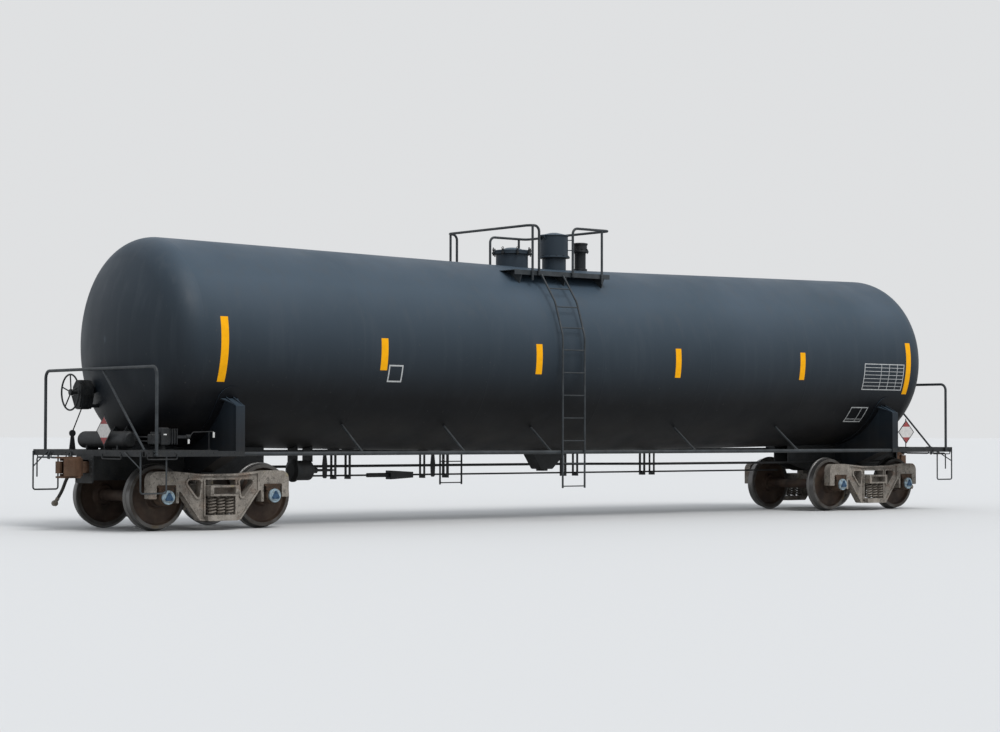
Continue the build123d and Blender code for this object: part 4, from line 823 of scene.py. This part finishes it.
def make_rail_feet():
    feet = Builder()
    for y in (-POST_Y, POST_Y):
        for drop in END_CLAMP_DROPS:
            clamp(feet, POST_X, y, DECK_TOP - drop, POST_RADIUS, END_CLAMP)
    feet.finish("end_rail_feet", RAILS, half_turn=True)
    clamps = Builder()
    for legs, _, posts in TOP_LOOPS:
        for x in (legs, posts):
            for y in (-TOP_RAIL_Y, TOP_RAIL_Y):
                for drop in TOP_CLAMP_DROPS:
                    clamp(clamps, x, y, TOP_DECK_Z - drop, TOP_RAIL_RADIUS, TOP_CLAMP)
    clamps.finish("top_rail_clamps", RAILS)


# Rivet heads on strikers, side channels and end channels: faces, heights, places, radii and rise
STRIKER_FACE = 8.566
STRIKER_RIVETS = ((-0.215, 0.215), (0.700, 0.780, 0.880, 0.980))
STRIKER_HEAD = (0.012, 0.013, 0.009)
SIDE_CHANNEL_FACE = 1.590
SIDE_CHANNEL_Z = RAIL + 1.090
SIDE_RIVETS = (7.05, 7.40, 7.75, 8.02, 8.43)
SIDE_HEAD = (0.008, 0.011, 0.008)
END_CHANNEL_FACE = 8.540
END_CHANNEL_Z = RAIL + 1.088
END_RIVETS = (-1.45, -0.98, -0.60, 0.60, 0.98, 1.45)
END_HEAD = (0.009, 0.011, 0.008)

# The release rod at the control valve, on its stand, with the blank tags that hang from it
PULL_Y = -1.30
PULL_ROUTE = ((-7.62, RAIL + 1.310), (-7.56, RAIL + 1.375), (-7.24, RAIL + 1.385))
PULL_RADIUS = 0.008
PULL_STAND_X = -7.30
PULL_STAND_TOP = RAIL + 1.383
PULL_STAND_LOW = DECK_TOP + 0.0005
PULL_STAND_FOOT = (DECK_TOP + 0.016, 0.030)
TAG_EDGES = (-0.002, 0.030)
TAG_WHITE = (0.70, 0.70, 0.68)
TAGS = ((-7.655, RAIL + 1.215), (-7.245, RAIL + 1.300))
TAG_FACES = (-1.318, -1.316)
TAG_HEIGHT = 0.075
# A tag's wire: its place along the car, front and back, low and high end, and radius
TAG_WIRE = (0.014, -1.314, -1.302, 0.070, 0.090, 0.002)
VALVE_PLATE = ((-8.095, -1.4018, RAIL + 1.335), (-8.045, -1.3998, RAIL + 1.352))


def make_rivets():
    heads = Builder()
    rise, base, top = STRIKER_HEAD
    for y in STRIKER_RIVETS[0]:
        for height in STRIKER_RIVETS[1]:
            z = RAIL + height
            heads.cylinder((STRIKER_FACE, y, z), (STRIKER_FACE + rise, y, z), base, 8, top)
    rise, base, top = SIDE_HEAD
    for x in SIDE_RIVETS:
        for side in (-1, 1):
            end = (x, side * (SIDE_CHANNEL_FACE + rise), SIDE_CHANNEL_Z)
            heads.cylinder((x, side * SIDE_CHANNEL_FACE, SIDE_CHANNEL_Z), end, base, 8, top)
    rise, base, top = END_HEAD
    for y in END_RIVETS:
        end = (END_CHANNEL_FACE + rise, y, END_CHANNEL_Z)
        heads.cylinder((END_CHANNEL_FACE, y, END_CHANNEL_Z), end, base, 8, top)
    heads.finish("rivet_heads", FRAME, half_turn=True)


def make_pull_rod():
    pipes = Builder()
    pipes.tube([(x, PULL_Y, z) for x, z in PULL_ROUTE], PULL_RADIUS, 8)
    stand_low = (PULL_STAND_X, PULL_Y, PULL_STAND_LOW)
    pipes.tube([(PULL_STAND_X, PULL_Y, PULL_STAND_TOP), stand_low], PULL_RADIUS, 8)
    foot_top, foot_radius = PULL_STAND_FOOT
    pipes.cylinder(stand_low, (PULL_STAND_X, PULL_Y, foot_top), foot_radius, 12)
    pipes.finish("valve_pull_rod", BRAKE)
    tags = Builder()
    left, right = TAG_EDGES
    back, front = TAG_FACES
    run, wire_front, wire_back, wire_low, wire_high, wire = TAG_WIRE
    for x, z in TAGS:
        tags.box((x + left, back, z), (x + right, front, z + TAG_HEIGHT))
        wire_end = (x + run, wire_back, z + wire_high)
        tags.cylinder((x + run, wire_front, z + wire_low), wire_end, wire, 6)
    tags.box(*VALVE_PLATE)
    tags.finish("blank_tags", plain("tag_white", TAG_WHITE, 0.5, speck=0.15), smooth=0)


# Rounded edges on the castings: node name without its end letter, and width
BEVELS = (("side_frames_", 0.005), ("truck_bolster_", 0.004), ("coupler_", 0.003), ("knuckle_", 0.003))
BEVEL_ANGLE = radians(50)


def plate_bevel(name, width):
    bevel = frame["nodes"][name].modifiers.new("edge", "BEVEL")
    bevel.width = width
    bevel.segments = 1
    bevel.limit_method = "ANGLE"
    bevel.angle_limit = BEVEL_ANGLE


def paint_nodes(paints, adapters):
    for part in frame["record"]["subparts"]:
        name, slot = part["node"], part["material_slot"]
        if slot == "wheel_steel":
            number = int(name[-1])
            paint = wheel_steel(number, WHEELSETS[number - 1])
        elif name.startswith("bearings"):
            paint = adapters
        elif name.startswith("body_bolster"):
            paint = paints["tank_paint"]
        else:
            paint = paints[slot]
        mesh = frame["nodes"][name].data
        mesh.materials.clear()
        mesh.materials.append(paint)


make_camera()
make_stage()

FRAME = weathered("frame_paint")
RAILS = weathered("rail_paint")
BRAKE = weathered("brake_black")
PAINTS = {
    "tank_paint": tank_paint(),
    "frame_paint": FRAME,
    "rail_paint": RAILS,
    "brake_black": BRAKE,
    "cast_dusty": cast_frame(),
    "coupler_rust": weathered("coupler_rust"),
    "hose_rubber": weathered("hose_rubber"),
    "gladhand_metal": weathered("gladhand_metal"),
    "spring_steel": weathered("spring_steel"),
}
paint_nodes(PAINTS, weathered("adapter_rust"))

for letter, side in (("a", 1), ("b", -1)):
    make_hose(letter, side, PAINTS["hose_rubber"])
    for stem, width in BEVELS:
        plate_bevel(stem + letter, width)
make_marks()
make_placards()
make_bearing_plates()
make_springs()
make_top_bolts()
make_relief_valve()
make_end_rails()
make_top_rails()
make_rail_feet()
make_rivets()
make_pull_rod()
